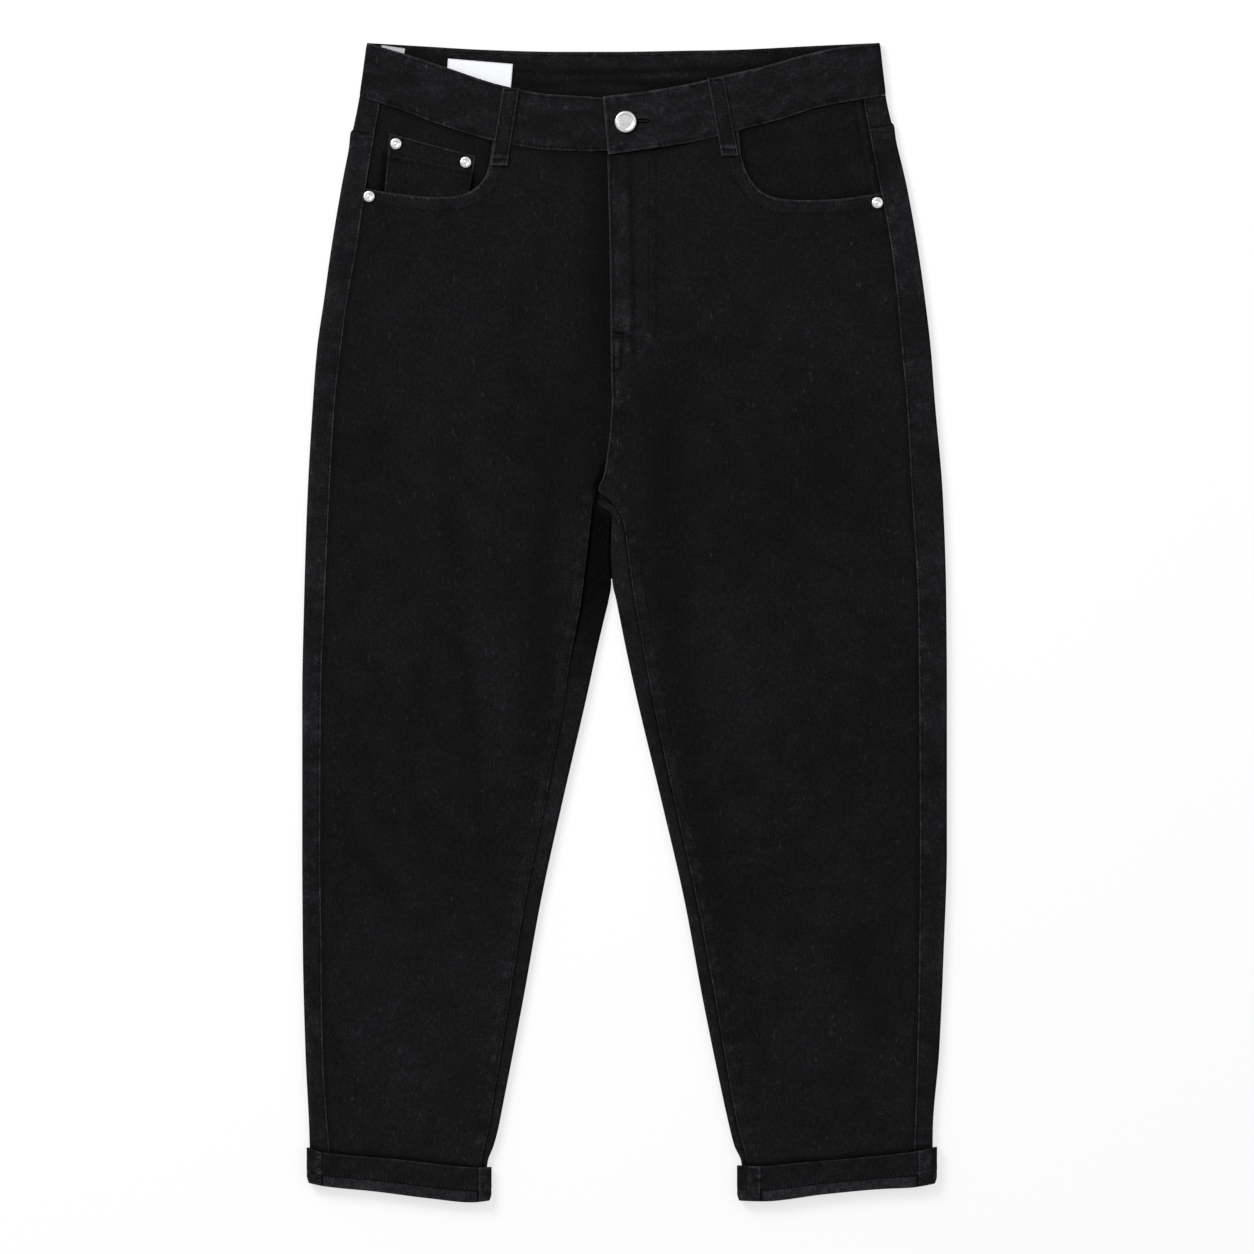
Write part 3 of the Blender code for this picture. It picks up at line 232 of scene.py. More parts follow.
# %% Lines of the garment
GAP = 0.3                # between two pieces at a seam
WAIST_GAP = 0.5
TIGHT = 0.02             # half of what stays open where two edges are sewn shut
CLOTH = 0.6              # half of one layer as the model has it
CLOTH_SHELL = 0.5        # half of the shell made here, just inside it
BAND = 1.2               # the same for the doubled waistband and cuffs
BAND_SHELL = 1.1
FLOOR_MID = CLOTH        # heights of a layer's middle: underneath, at a seam, away from seams
EDGE_MID, REST_MID = 5.8, 4.7
LAP = 0.75               # half of the step where one layer lies on another
CENTRE_BACK = -10.0      # X of the seam between the two back panels
CROTCH_FORK = 31.0       # Y where the two legs part
YOKE_SEAM = 342.0        # inner Y of the yoke seam, at centre back
WAIST_SIDE_Y = 405.0     # Y where each seam is read to find the waist above it
WAIST_INNER_Y = 367.0
LEG_END = (-433.0, -448.0)          # Y of the leg's end inside the cuff, outer and inner side
TUCK = (-422.5, -410.0)  # Y range over which the leg slips into its cuff
TUCKED_TOP, TUCKED_FLOOR = 5.5, 3.3
CUFF_TOP = 7.6           # height of the cuff's upper layer
BELOW_CROTCH = (96.0, 108.0)        # Y range over which the felled inner seam begins

RIGHT_SIDE = (           # y, X of the fold that is the outline, X of the side seam
    (452.0, -201.5, -190.5), (409.0, -207.0, -190.5), (386.0, -211.0, -194.0),
    (337.5, -221.0, -202.0), (290.5, -229.0, -209.0), (251.5, -234.5, -216.0),
    (212.5, -240.0, -221.0), (173.5, -243.0, -225.5), (95.5, -247.5, -230.0),
    (17.5, -250.0, -233.5), (-60.5, -251.5, -236.5), (-177.5, -251.5, -237.0),
    (-255.5, -251.0, -236.0), (-333.5, -249.0, -235.0), (-396.0, -246.0, -231.0),
    (-450.0, -244.5, -227.0),
)
LEFT_SIDE = (
    (452.0, 199.5, 186.5), (409.0, 204.0, 186.5), (386.0, 208.5, 190.0), (337.5, 220.5, 199.5),
    (290.5, 229.0, 208.0), (251.5, 234.5, 212.5), (212.5, 239.0, 216.0), (173.5, 242.0, 219.5),
    (95.5, 248.5, 224.0), (17.5, 251.0, 228.5), (-60.5, 251.5, 229.5), (-177.5, 251.5, 230.0),
    (-255.5, 249.0, 229.5), (-333.5, 245.5, 228.0), (-396.0, 240.5, 226.0),
    (-450.0, 240.0, 222.5),
)
CENTRE_FRONT = (         # y, X of the edge where the two fronts meet
    (367.0, -13.5), (283.0, -11.5), (198.0, -10.5), (172.0, -10.0), (148.0, -11.5), (128.0, -14.0),
)
RIGHT_INNER_SEAM = (     # y, X of the front panel's inner edge, which goes on down the leg
    *CENTRE_FRONT, (114.0, -17.0), (106.0, -21.0), (100.0, -23.5), (72.0, -27.0), (42.5, -30.5),
    (17.0, -33.5), (-5.0, -37.5), (-31.0, -42.5), (-59.0, -46.5), (-138.5, -61.0),
    (-216.5, -77.0), (-294.5, -89.5), (-372.5, -102.0), (-394.0, -105.5), (-420.0, -111.0),
    (-450.0, -114.0),
)
LEFT_INNER_SEAM = (
    *CENTRE_FRONT, (114.0, -16.5), (103.5, -20.5), (95.5, -11.5), (86.5, -4.5), (76.5, -1.0),
    (52.5, 2.5), (24.5, 6.5), (-5.0, 11.5), (-59.0, 21.5), (-138.5, 38.5), (-216.5, 56.0),
    (-294.5, 70.5), (-372.5, 84.0), (-395.0, 88.5), (-420.0, 95.0), (-450.0, 98.0),
)
RIGHT_INNER_FOLD = (     # y, X of the leg's inner fold, height of the cloth's middle there
    (91.5, -11.5, 3.2), (84.5, -11.0, 3.2), (52.5, -11.3, 3.2), (31.0, -10.2, 3.2),
    (17.5, -12.3, 3.3), (2.0, -16.0, 3.7), (-21.5, -21.5, 4.6), (-60.5, -30.0, 5.8),
    (-138.5, -48.0, 5.8), (-216.5, -65.0, 5.8), (-294.5, -79.0, 5.8), (-372.5, -94.0, 5.8),
    (-396.0, -98.7, 5.8), (-408.0, -102.0, 5.8), (-420.0, -106.5, 5.6), (-450.0, -109.5, 5.5),
)
LEFT_INNER_FOLD = (
    (98.0, -21.6, 4.7), (92.0, -21.0, 4.8), (84.5, -10.2, 4.9), (52.5, -10.9, 5.7),
    (31.0, -9.6, 5.8), (17.5, -6.6, 5.8), (2.0, -3.5, 5.8), (-21.5, 1.2, 5.8),
    (-60.5, 9.8, 5.8), (-138.5, 28.5, 5.8), (-216.5, 46.5, 5.8), (-294.5, 61.0, 5.8),
    (-372.5, 77.0, 5.8), (-396.0, 82.3, 5.8), (-408.0, 85.5, 5.8), (-420.0, 90.8, 5.6),
    (-450.0, 93.5, 5.5),
)
BAND_RIGHT = (           # waistband: X and Y of its top edge, X and Y of its bottom edge
    (-201.2, 452.0, -207.0, 410.0), (-169.7, 442.7, -175.1, 399.8),
    (-138.5, 432.5, -146.2, 388.8), (-94.8, 418.5, -102.6, 375.6),
    (-58.1, 411.8, -58.1, 368.2), (-16.8, 409.9, -13.7, 367.0), (20.0, 411.5, 20.0, 370.6),
)
BAND_LEFT = (
    (-16.8, 409.9, -12.9, 364.7), (16.0, 413.8, 19.9, 369.3), (51.1, 420.0, 56.6, 375.2),
    (77.6, 426.3, 87.8, 383.4), (108.0, 433.3, 118.2, 391.2), (140.0, 442.3, 155.6, 402.5),
    (172.0, 449.1, 187.6, 408.3), (199.3, 452.0, 204.0, 411.4),
)
BAND_BACK = (
    (-201.2, 452.0, -207.0, 410.0), (-156.4, 449.3, -160.0, 407.0),
    (-108.8, 446.6, -110.0, 404.6), (-50.3, 445.0, -50.3, 403.0), (-9.8, 445.0, -9.8, 403.0),
    (43.3, 445.8, 43.3, 403.6), (83.9, 446.6, 85.0, 404.6), (148.6, 449.7, 152.0, 408.0),
    (199.3, 452.0, 204.0, 411.4),
)
RIGHT_MOUTH = (
    (-203.0, 338.6), (-177.5, 334.2), (-147.0, 331.6), (-132.2, 332.3), (-120.5, 336.0),
    (-111.5, 343.6), (-107.0, 351.5), (-104.6, 362.0), (-103.0, 376.0),
)
LEFT_MOUTH = (
    (201.0, 335.2), (179.8, 331.7), (164.2, 330.0), (140.0, 329.2), (124.4, 330.0),
    (111.2, 333.4), (101.8, 340.5), (95.5, 350.6), (90.6, 366.0), (89.0, 384.0),
)

# %% [markdown]
# ## The cuffs and the sewing at the fly
# A turned-up cuff never lies quite straight, so its two edges are measured too. Its folds are where
# it turns under, and its tabs are the leg's felled seams seen from the inside of the cloth. At the
# foot of the fly several layers meet in a small space, so each short edge is drawn as a line.

# %% Cuffs and fly
CUFFS = {
    "right": {
        "top": ((-247.5, -409.0), (-236.0, -413.0), (-217.2, -415.1), (-173.6, -418.9),
                (-129.9, -423.9), (-114.3, -424.9), (-104.0, -424.4)),
        "bottom": ((-247.5, -436.5), (-233.6, -439.5), (-195.4, -443.4), (-151.7, -448.9),
                   (-119.0, -452.0), (-105.5, -450.6)),
        "folds": (-248.0, -103.5),
        "tabs": ((-249.0, -235.8), (-114.2, -102.0)),
    },
    "left": {
        "top": ((88.0, -423.2), (106.5, -423.9), (131.4, -421.6), (177.5, -417.7),
                (227.8, -412.2), (243.5, -408.6)),
        "bottom": ((88.5, -450.6), (107.6, -451.2), (154.6, -445.8), (200.1, -441.6),
                   (223.2, -440.5), (243.5, -437.0)),
        "folds": (87.5, 243.8),
        "tabs": ((95.0, 106.2), (228.6, 239.6)),
    },
}
FLY_STITCH = ((24.6, 360.0), (24.6, 251.6), (24.6, 226.0), (18.3, 214.9), (9.0, 209.0),
              (-1.2, 206.3), (-8.6, 205.6))

FLY_CORNER = (           # how much the tone moves, half width, the line: what is sewn there
    (-0.26, 1.0, ((-9.9, 221.8), (0.5, 224.6))), (-0.26, 1.0, ((-1.4, 224.6), (-3.4, 198.4))),
    (-0.20, 1.0, ((3.3, 224.6), (6.1, 213.4))), (-0.24, 1.0, ((-9.9, 197.4), (-3.4, 196.5))),
    (0.16, 1.2, ((-6.4, 219.0), (-5.8, 208.0))), (0.18, 1.2, ((-7.4, 205.5), (-6.6, 199.5))),
    (0.14, 1.3, ((-1.4, 209.7), (11.7, 216.2), (21.1, 224.6))),
    (0.13, 1.3, ((-0.8, 203.9), (13.6, 212.5), (24.9, 222.8))),
    (-0.12, 1.2, ((-1.0, 206.8), (12.6, 214.3), (23.0, 223.7))),
    (0.16, 1.2, ((-6.0, 191.0), (-5.4, 176.0))),
)

# %% [markdown]
# ## The two halves
# The right and the left half are cut alike but don't lie alike. So one class holds the lines of a
# half, and everything that follows asks it where a seam runs. A row of cloth is tilted from its
# side end to its inner end, and its share says how far down the leg it is.

# %% The two halves


def band_edge(rows, x_column, y_column):
    return curve([(row[x_column], row[y_column]) for row in rows])


WAIST = {"right": band_edge(BAND_RIGHT, 2, 3), "left": band_edge(BAND_LEFT, 2, 3)}
WAIST_BACK = band_edge(BAND_BACK, 2, 3)


class Leg:
    """The lines of one half of the jeans; out is -1 for the right and 1 for the left."""

    def __init__(self, name, out, side, inner_seam, inner_fold, mouth):
        self.name = name
        self.out = out
        self.side_fold, self.side_seam = curve(side, 1), curve(side, 2)
        self.inner_seam = curve(inner_seam)
        self.inner_fold, self.inner_mid = curve(inner_fold, 1), curve(inner_fold, 2)
        self.waist = WAIST[name]
        self.mouth_points = mouth
        self.mouth = resample(mouth, count=40)
        self.cuff_top = curve(CUFFS[name]["top"])
        self.side_top = self.waist(self.side_seam(WAIST_SIDE_Y)) - WAIST_GAP
        self.inner_top = self.waist(self.inner_seam(WAIST_INNER_Y)) - WAIST_GAP

    def share(self, inner_y):
        return (self.inner_top - inner_y) / (self.inner_top - LEG_END[1])

    def side_y(self, share):
        return mix(self.side_top, LEG_END[0], share)


RIGHT = Leg("right", -1, RIGHT_SIDE, RIGHT_INNER_SEAM, RIGHT_INNER_FOLD, RIGHT_MOUTH)
LEFT = Leg("left", 1, LEFT_SIDE, LEFT_INNER_SEAM, LEFT_INNER_FOLD, LEFT_MOUTH)
LEGS = (RIGHT, LEFT)
print("waist seam at the sides:", round(float(RIGHT.side_top), 1), round(float(LEFT.side_top), 1))

# %% [markdown]
# ## How denim lies and wears, and where shade is painted
# Cloth laid flat is never level. Long soft folds run down the legs, and the whole panel breathes a
# little between them. Washing rubs the dye off whatever stands up: folded edges, puckers along the
# sewing, the crests of the folds. So every shell carries two things at each point, a height and a
# tone, and both come from the same folds. Tone 0.5 is plain cloth and 1 is rubbed; low tones are
# painted shade, in the folds' troughs, beside laps and edges and deep in the fork.

# %% Folds, patches and heights
FOLDS = (                # from x, y, to x, y, sideways bow, half width, height
    (-144.0, 165.0, -97.0, -265.0, 0.0, 9.0, -1.0),
    (-100.0, 10.0, -84.0, -160.0, 3.0, 10.0, 0.8),
    (-32.0, 215.0, -66.0, -115.0, -12.0, 10.0, -0.9),
    (-218.0, 140.0, -150.0, 118.0, 5.0, 14.0, -0.5),
    (-222.0, -150.0, -180.0, -235.0, 6.0, 14.0, -0.5),
    (-190.0, -330.0, -150.0, -395.0, 0.0, 16.0, 0.6),
    (28.0, 200.0, 133.0, -400.0, -27.0, 11.0, -1.1),
    (78.0, 45.0, 100.0, -130.0, -4.0, 18.0, 0.7),
    (120.0, 190.0, 190.0, 60.0, 10.0, 16.0, -0.5),
    (196.0, -225.0, 180.0, -310.0, 0.0, 13.0, -0.7),
    (150.0, -250.0, 142.0, -370.0, 0.0, 16.0, 0.7),
)
CREASES = (              # the smaller ones that only the finished cloth has
    (-120.0, 60.0, -102.0, -150.0, -4.0, 5.0, 0.35), (-60.0, 320.0, -92.0, 215.0, 6.0, 9.0, -0.3),
    (-176.0, 92.0, -120.0, 60.0, 4.0, 7.0, -0.3), (-208.0, 20.0, -170.0, -70.0, 9.0, 8.0, 0.3),
    (-168.0, -120.0, -150.0, -250.0, 5.0, 7.0, -0.3),
    (-128.0, -300.0, -138.0, -392.0, 3.0, 7.0, -0.35),
    (46.0, 190.0, 96.0, 92.0, 9.0, 7.0, -0.35), (60.0, 318.0, 84.0, 214.0, -5.0, 9.0, 0.3),
    (134.0, 282.0, 190.0, 232.0, 5.0, 8.0, -0.3), (206.0, 60.0, 176.0, -62.0, -8.0, 8.0, 0.3),
    (128.0, -40.0, 150.0, -176.0, 6.0, 6.0, -0.3), (104.0, -250.0, 120.0, -384.0, 4.0, 6.0, 0.35),
    (-90.0, 20.0, -52.0, 64.0, 3.0, 6.0, -0.3), (12.0, 60.0, 60.0, 96.0, -4.0, 6.0, -0.3),
)
# soft patches of painted shade, and of painted light where the cloth rises
SHADE_AND_LIGHT_PATCHES = (              # centre x, y, half width, half height, how much the tone moves
    (35.0, 127.0, 17.0, 100.0, -0.070), (-24.0, 245.0, 11.0, 100.0, -0.060),
    (-214.0, 127.0, 30.0, 36.0, -0.030), (-66.0, 134.0, 26.0, 66.0, -0.045),
    (129.0, 103.0, 42.0, 52.0, -0.030), (191.0, -263.0, 18.0, 52.0, -0.040),
    (88.0, -218.0, 34.0, 30.0, -0.040), (-212.0, -185.0, 26.0, 60.0, -0.025),
    (-66.0, -21.0, 14.0, 74.0, -0.040), (-105.0, -60.0, 13.0, 90.0, 0.035),
    (106.0, -53.0, 40.0, 62.0, 0.030), (-172.0, -338.0, 42.0, 50.0, 0.030),
    (-150.0, 220.0, 40.0, 60.0, 0.020), (150.0, 250.0, 40.0, 50.0, 0.020),
)


def folds_at(x, y, table):
    """Sum of soft folds, each fading out towards its two ends."""
    total = np.zeros(np.shape(x))
    for from_x, from_y, to_x, to_y, bow, half_width, height in table:
        run_x, run_y = to_x - from_x, to_y - from_y
        length = math.hypot(run_x, run_y)
        along = ((x - from_x) * run_x + (y - from_y) * run_y) / length**2
        across = ((y - from_y) * run_x - (x - from_x) * run_y) / length
        across = across - bow * 4.0 * along * (1.0 - along)
        fading = np.sin(math.pi * np.clip(along, 0.0, 1.0)) ** 0.7
        total = total + height * fading * np.exp(-(across / half_width) ** 2)
    return total


SEAM_HOLD = 13.0         # a seam holds the cloth up for about this distance


def front_mid(leg, x, y):
    """Height of the middle of the front cloth, before any lap over another layer."""
    from_side = bump(x, leg.side_seam(y), SEAM_HOLD)
    from_inner = fall(y, (50.0, 110.0)) * bump(x, leg.inner_seam(y), SEAM_HOLD)
    from_waist = bump(y, leg.waist(x), SEAM_HOLD)
    free = (1.0 - from_side) * (1.0 - from_inner) * (1.0 - from_waist)
    swell = 0.22 * noise(x / 62.0, y / 85.0, 3) + 0.10 * noise(x / 24.0, y / 33.0, 4)
    fine = folds_at(x, y, CREASES) + swell
    return mix(EDGE_MID, REST_MID + folds_at(x, y, FOLDS) + fine, free)


def cloth_tone(x, y):
    """Tone of a front panel away from its seams: rubbed on the folds' crests, painted shade in their
    troughs.
    """
    tone = 0.5 + 0.050 * folds_at(x, y, FOLDS) + 0.08 * folds_at(x, y, CREASES)
    tone = tone + 0.018 * noise(x / 40.0, y / 52.0, 7) + 0.014 * noise(x / 13.0, y / 16.0, 8)
    # painted shade and painted light in soft patches
    for px, py, wide, high, amount in SHADE_AND_LIGHT_PATCHES:
        tone = tone + amount * np.exp(-((x - px) / wide) ** 2 - ((y - py) / high) ** 2)
    return tone


# %% [markdown]
# ## One way to make a shell
# A piece of cloth starts as a grid of points down its middle. Its normals come from the grid
# itself, half the thickness goes to each side, and the open rim is closed and rounded with a bevel.
# Cells can be left out of the grid, which is how the pocket mouths and the crotch are shaped. The
# shell gets a UV map in real metres, so that the twill follows the cloth round every fold.

# %% The shell maker


RIM = 0.28               # how far the edge of a cut piece is rounded, in millimetres
RIM_STEPS = 2
RIM_ANGLE = math.radians(50.0)


def select_nothing():
    for other in list(bpy.context.selected_objects):
        other.select_set(False)


def activate(piece):
    select_nothing()
    piece.select_set(True)
    bpy.context.view_layer.objects.active = piece


def finish_modifiers(piece):
    activate(piece)
    for modifier in list(piece.modifiers):
        bpy.ops.object.modifier_apply(modifier=modifier.name)


def shell(name, middle, half, share=1.0, tone=0.5, under=0.46, ring=False, present=None, rim=RIM):
    """A closed thin wall round a grid of middle points; half is half its thickness.

    Share thins it from point to point, tone and under colour its outer and its inner side, ring
    joins the last column to the first, and present says which cells of the grid are cloth.
    """
    rows, columns = middle.shape[:2]
    share = np.broadcast_to(share, (rows, columns))
    tone = np.broadcast_to(tone, (rows, columns))
    along = np.gradient(middle, axis=0)
    if ring:
        across = np.roll(middle, -1, axis=1) - np.roll(middle, 1, axis=1)
    else:
        across = np.gradient(middle, axis=1)
    normal = np.cross(along, across)
    normal /= np.maximum(np.linalg.norm(normal, axis=2, keepdims=True), 1e-9)
    width = columns if ring else columns - 1
    cells = np.ones((rows - 1, width), bool) if present is None else present
    following = (np.arange(width) + 1) % columns
    used = np.zeros((rows, columns), bool)
    for down in (0, 1):
        part = used[down:rows - 1 + down]
        part[:, :width] |= cells
        part[:, following] |= cells
    number = np.full((rows, columns), -1)
    count = int(used.sum())
    number[used] = np.arange(count)
    i, j = np.nonzero(cells)
    corners = [number[i, j], number[i + 1, j], number[i + 1, following[j]], number[i, following[j]]]
    outer = np.stack(corners, axis=1)
    edges = np.concatenate([np.stack([outer[:, k], outer[:, (k + 1) % 4]], 1) for k in range(4)])
    forward = edges[:, 0].astype(np.int64) * count + edges[:, 1]
    backward = edges[:, 1].astype(np.int64) * count + edges[:, 0]
    p, q = edges[~np.isin(forward, backward)].T
    sides = np.stack([q, p, p + count, q + count], axis=1)
    faces = np.concatenate([outer, outer[:, ::-1] + count, sides])
    step = normal * (half * share)[..., None]
    points = np.concatenate([(middle + step)[used], (middle - step)[used]]) * MM
    mesh = bpy.data.meshes.new(name)
    mesh.from_pydata(points.tolist(), [], faces.tolist())
    u = np.cumsum(np.linalg.norm(np.diff(middle, axis=1, prepend=middle[:, :1]), axis=2), axis=1)
    v = np.cumsum(np.linalg.norm(np.diff(middle, axis=0, prepend=middle[:1]), axis=2), axis=0)
    flat = np.stack([u[used], v[used]], axis=1) * MM
    flat = np.concatenate([flat, flat])
    loops = np.zeros(len(mesh.loops), np.int32)
    mesh.loops.foreach_get("vertex_index", loops)
    mesh.uv_layers.new(name="cloth").data.foreach_set("uv", flat[loops].astype(np.float32).ravel())
    tones = np.concatenate([tone[used], np.broadcast_to(under, (rows, columns))[used]])
    attribute = mesh.attributes.new("tone", "FLOAT", "POINT")
    attribute.data.foreach_set("value", tones.astype(np.float32))
    piece = bpy.data.objects.new(name, mesh)
    bpy.context.scene.collection.objects.link(piece)
    if rim:
        bevel = piece.modifiers.new("rim", "BEVEL")
        bevel.width = rim * MM
        bevel.segments = RIM_STEPS
        bevel.limit_method = "ANGLE"
        bevel.angle_limit = RIM_ANGLE
        bevel.use_clamp_overlap = False
        finish_modifiers(piece)
    piece.data.shade_smooth()
    print(name, "shell of", len(piece.data.polygons), "faces")
    return piece


def cloth_shell(name, x, y, z, turned, tone, half=CLOTH_SHELL, present=None, **settings):
    """A shell from X, Y and Z; turned reverses its columns, so that its outer side faces out."""
    middle = np.stack([x, y, z], axis=2)
    if turned:
        middle, tone = middle[:, ::-1], tone[:, ::-1]
        present = None if present is None else present[:, ::-1]
    return shell(name, middle, half, tone=tone, present=present, **settings)


# %% [markdown]
# ## Washed black denim
# Black denim is woven as a steep twill from black warp and dark grey weft. From a step away it
# reads as charcoal with pale flecks of lint, darker mottling, and grey where it is rubbed. The
# weave follows the UV map, the flecks and the mottling follow the object, and the tone attribute
# moves the colour along a ramp from the darkest painted shade through plain cloth to rubbed thread.
# Only the finest relief is bump: folds, puckers and seams are in the shells.

# %% Denim material


def new_material(name, colour, roughness, metallic=0.0, specular=0.5):
    made = bpy.data.materials.new(name)
    made.use_nodes = True
    shader = made.node_tree.nodes["Principled BSDF"]
    shader.inputs["Base Color"].default_value = (*colour, 1.0)
    shader.inputs["Roughness"].default_value = roughness
    shader.inputs["Metallic"].default_value = metallic
    shader.inputs["Specular IOR Level"].default_value = specular
    return made, made.node_tree, shader


def math_node(tree, operation, first, second=None, third=None):
    node = tree.nodes.new("ShaderNodeMath")
    node.operation = operation
    for socket, value in zip(node.inputs, (first, second, third)):
        if value is None:
            continue
        if isinstance(value, (int, float)):
            socket.default_value = value
        else:
            tree.links.new(value, socket)
    return node.outputs[0]


def pattern(tree, kind, vector, scale, **settings):
    """A noise or wave texture read at some coordinates, as a value."""
    node = tree.nodes.new("ShaderNodeTex" + kind)
    node.inputs["Scale"].default_value = scale
    for key, value in settings.items():
        if key in node.inputs:
            node.inputs[key].default_value = value
        else:
            setattr(node, key, value)
    tree.links.new(vector, node.inputs["Vector"])
    return node.outputs["Fac"]


def stretched(tree, vector, scale, turn=0.0):
    node = tree.nodes.new("ShaderNodeMapping")
    node.inputs["Scale"].default_value = scale
    node.inputs["Rotation"].default_value = (0.0, 0.0, turn)
    tree.links.new(vector, node.inputs["Vector"])
    return node.outputs[0]


def add_relief(tree, shader, height, distance, strength):
    """Fine relief on a finished surface; distance is in metres."""
    relief = tree.nodes.new("ShaderNodeBump")
    relief.inputs["Distance"].default_value = distance
    relief.inputs["Strength"].default_value = strength
    tree.links.new(height, relief.inputs["Height"])
    tree.links.new(relief.outputs[0], shader.inputs["Normal"])


def read_tone(tree):
    node = tree.nodes.new("ShaderNodeAttribute")
    node.attribute_name = "tone"
    return node.outputs["Fac"]


# the lowest tones are painted shade, the highest rubbed thread
DENIM_RAMP = (           # tone, colour
    (0.0, (0.0010, 0.0010, 0.0011)), (0.36, (0.0043, 0.0043, 0.0048)),
    (0.5, (0.0066, 0.0066, 0.0073)), (0.66, (0.0112, 0.0112, 0.0123)),
    (1.0, (0.0385, 0.0385, 0.0420)),
)
TWILL_SCALE = 620.0 / math.pi       # gives about 620 twill lines to a metre of cloth
TWILL_SLANT = math.radians(27.0)
MOTTLE, FLECKS, STREAKS, TWILL = 0.20, 0.52, 0.26, 0.04     # how much each moves the tone
WORN_MOST = 0.09         # rubbing makes the cloth uneven up to here
WORN_UNEVEN = 3.8
LINT_ABOVE, LINT_STRENGTH = 0.62, 1.6


def denim(name):
    """Washed black denim."""
    made, tree, shader = new_material(name, (0.006, 0.006, 0.007), 0.9, specular=0.02)
    place = tree.nodes.new("ShaderNodeTexCoord").outputs["Object"]
    flat = tree.nodes.new("ShaderNodeUVMap")
    flat.uv_map = "cloth"
    tone = read_tone(tree)
    mottle = pattern(tree, "Noise", place, 55.0, Detail=3.0, Roughness=0.6)
    flecks = pattern(tree, "Noise", place, 620.0, Detail=2.0, Roughness=0.7)
    warp = stretched(tree, flat.outputs[0], (1.0, 0.22, 1.0))
    streaks = pattern(tree, "Noise", warp, 900.0, Detail=1.0)
    lint_place = stretched(tree, place, (1.0, 0.35, 1.0), 0.7)
    lint = pattern(tree, "Noise", lint_place, 480.0, Detail=2.0, Roughness=0.55)
    twill_flat = stretched(tree, flat.outputs[0], (1.0, 1.0, 1.0), TWILL_SLANT)
    twill = pattern(tree, "Wave", twill_flat, TWILL_SCALE,
                    bands_direction="X", Distortion=1.2, Detail=1.0)
    worn = math_node(tree, "MAXIMUM", math_node(tree, "SUBTRACT", tone, 0.5), 0.0)
    worn = math_node(tree, "MINIMUM", worn, WORN_MOST)
    blotches = pattern(tree, "Noise", place, 250.0, Detail=3.0, Roughness=0.65)
    uneven = math_node(tree, "MULTIPLY", math_node(tree, "SUBTRACT", blotches, 0.5), WORN_UNEVEN)
    value = math_node(tree, "MULTIPLY_ADD", worn, uneven, tone)
    for source, weight in ((mottle, MOTTLE), (flecks, FLECKS), (streaks, STREAKS), (twill, TWILL)):
        away = math_node(tree, "SUBTRACT", source, 0.5)
        value = math_node(tree, "MULTIPLY_ADD", away, weight, value)
    speck = math_node(tree, "MAXIMUM", math_node(tree, "SUBTRACT", lint, LINT_ABOVE), 0.0)
    speck = math_node(tree, "MULTIPLY", speck, LINT_STRENGTH)
    value = math_node(tree, "ADD", value, speck)
    ramp = tree.nodes.new("ShaderNodeValToRGB")
    ramp.color_ramp.interpolation = "LINEAR"
    while len(ramp.color_ramp.elements) < len(DENIM_RAMP):
        ramp.color_ramp.elements.new(0.5)
    for element, (position, colour) in zip(ramp.color_ramp.elements, DENIM_RAMP):
        element.position = position
        element.color = (*colour, 1.0)
    tree.links.new(value, ramp.inputs[0])
    tree.links.new(ramp.outputs[0], shader.inputs["Base Color"])
    height = math_node(tree, "MULTIPLY_ADD", flecks, 0.6, math_node(tree, "MULTIPLY", twill, 0.5))
    add_relief(tree, shader, height, 0.00022, 0.55)
    return made


DENIM = denim("washed_black_denim")
print("denim made, with", len(DENIM.node_tree.nodes), "nodes")


# %% [markdown]
# ## Dressing a piece
# A finished shell is given its cloth, rides the one body and stands for one solid of the model,
# which is hidden.

# %% Dressing a piece


def dress(piece, material, slot, node, rests_on, flat, area=None):
    """Gives a finished shell its material and its body and hides its solid; slot, rests_on, flat and area
    are not used.
    """
    piece.data.materials.clear()
    piece.data.materials.append(material)
    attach(piece, "root")
    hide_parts(node)


# %% [markdown]
# ## What shows on a front panel
# A felled seam puckers, because two rows of stitches hold several layers that shrank unevenly, and
# the dye rubs off each pucker's crest. So the details are read from distances: from the side seam,
# the inner seam, the waist and the pocket mouth. The left front also carries the fly: the zip's
# ridge, the curved rows, the felled centre seam below them, and the corner where they all meet.
# Painted shade darkens the cloth under the waistband, just beyond the mouth's hem, beside the zip's
# ridge, beside the fly's lap, in the fork and above the cuffs.

# %% Details of the fronts
EDGE_STEPS = np.array([0.0, 0.5, 1.2, 2.1, 3.2, 4.6, 6.2, 8.0, 9.6, 11.2])
HEM_BAND = 10.5          # the mouth's hem is this wide
FLY_BAND = 17.5          # the zip's ridge ends this far from the fly edge
INNER_ROWS = (2.2, 9.2)  # rows of sewing, each at its distance from the edge
MOUTH_ROWS = (2.4, HEM_BAND)
CENTRE_ROWS = (2.3, 8.6)
GROOVE = 0.8             # half width of the groove that a row of stitches pulls
CORNER_PLACE, CORNER_SIZE = (4.0, 222.0), (16.0, 17.0)      # the rubbed corner at the fly's foot
FORK_SHADOW_Y = 114.0    # where the front dips into the fork


def steps_across(width, middle):
    """Distances across a panel for each row: close together at both edges."""
    inner = np.linspace(0.0, 1.0, middle + 2)[1:-1]
    width = np.asarray(width, float)[:, None]
    reach = EDGE_STEPS[-1]
    return np.concatenate([np.broadcast_to(EDGE_STEPS, (len(width), len(EDGE_STEPS))),
                           mix(reach, width - reach, inner), width - EDGE_STEPS[::-1]], axis=1)


def roped(x, y, seed, pitch=4.6):
    """Puckers along a felled seam: slanting, uneven, a few millimetres apart."""
    return noise(x / (pitch * 1.6), y / pitch + 0.35 * noise(x / 9.0, y / 17.0, seed + 1), seed)


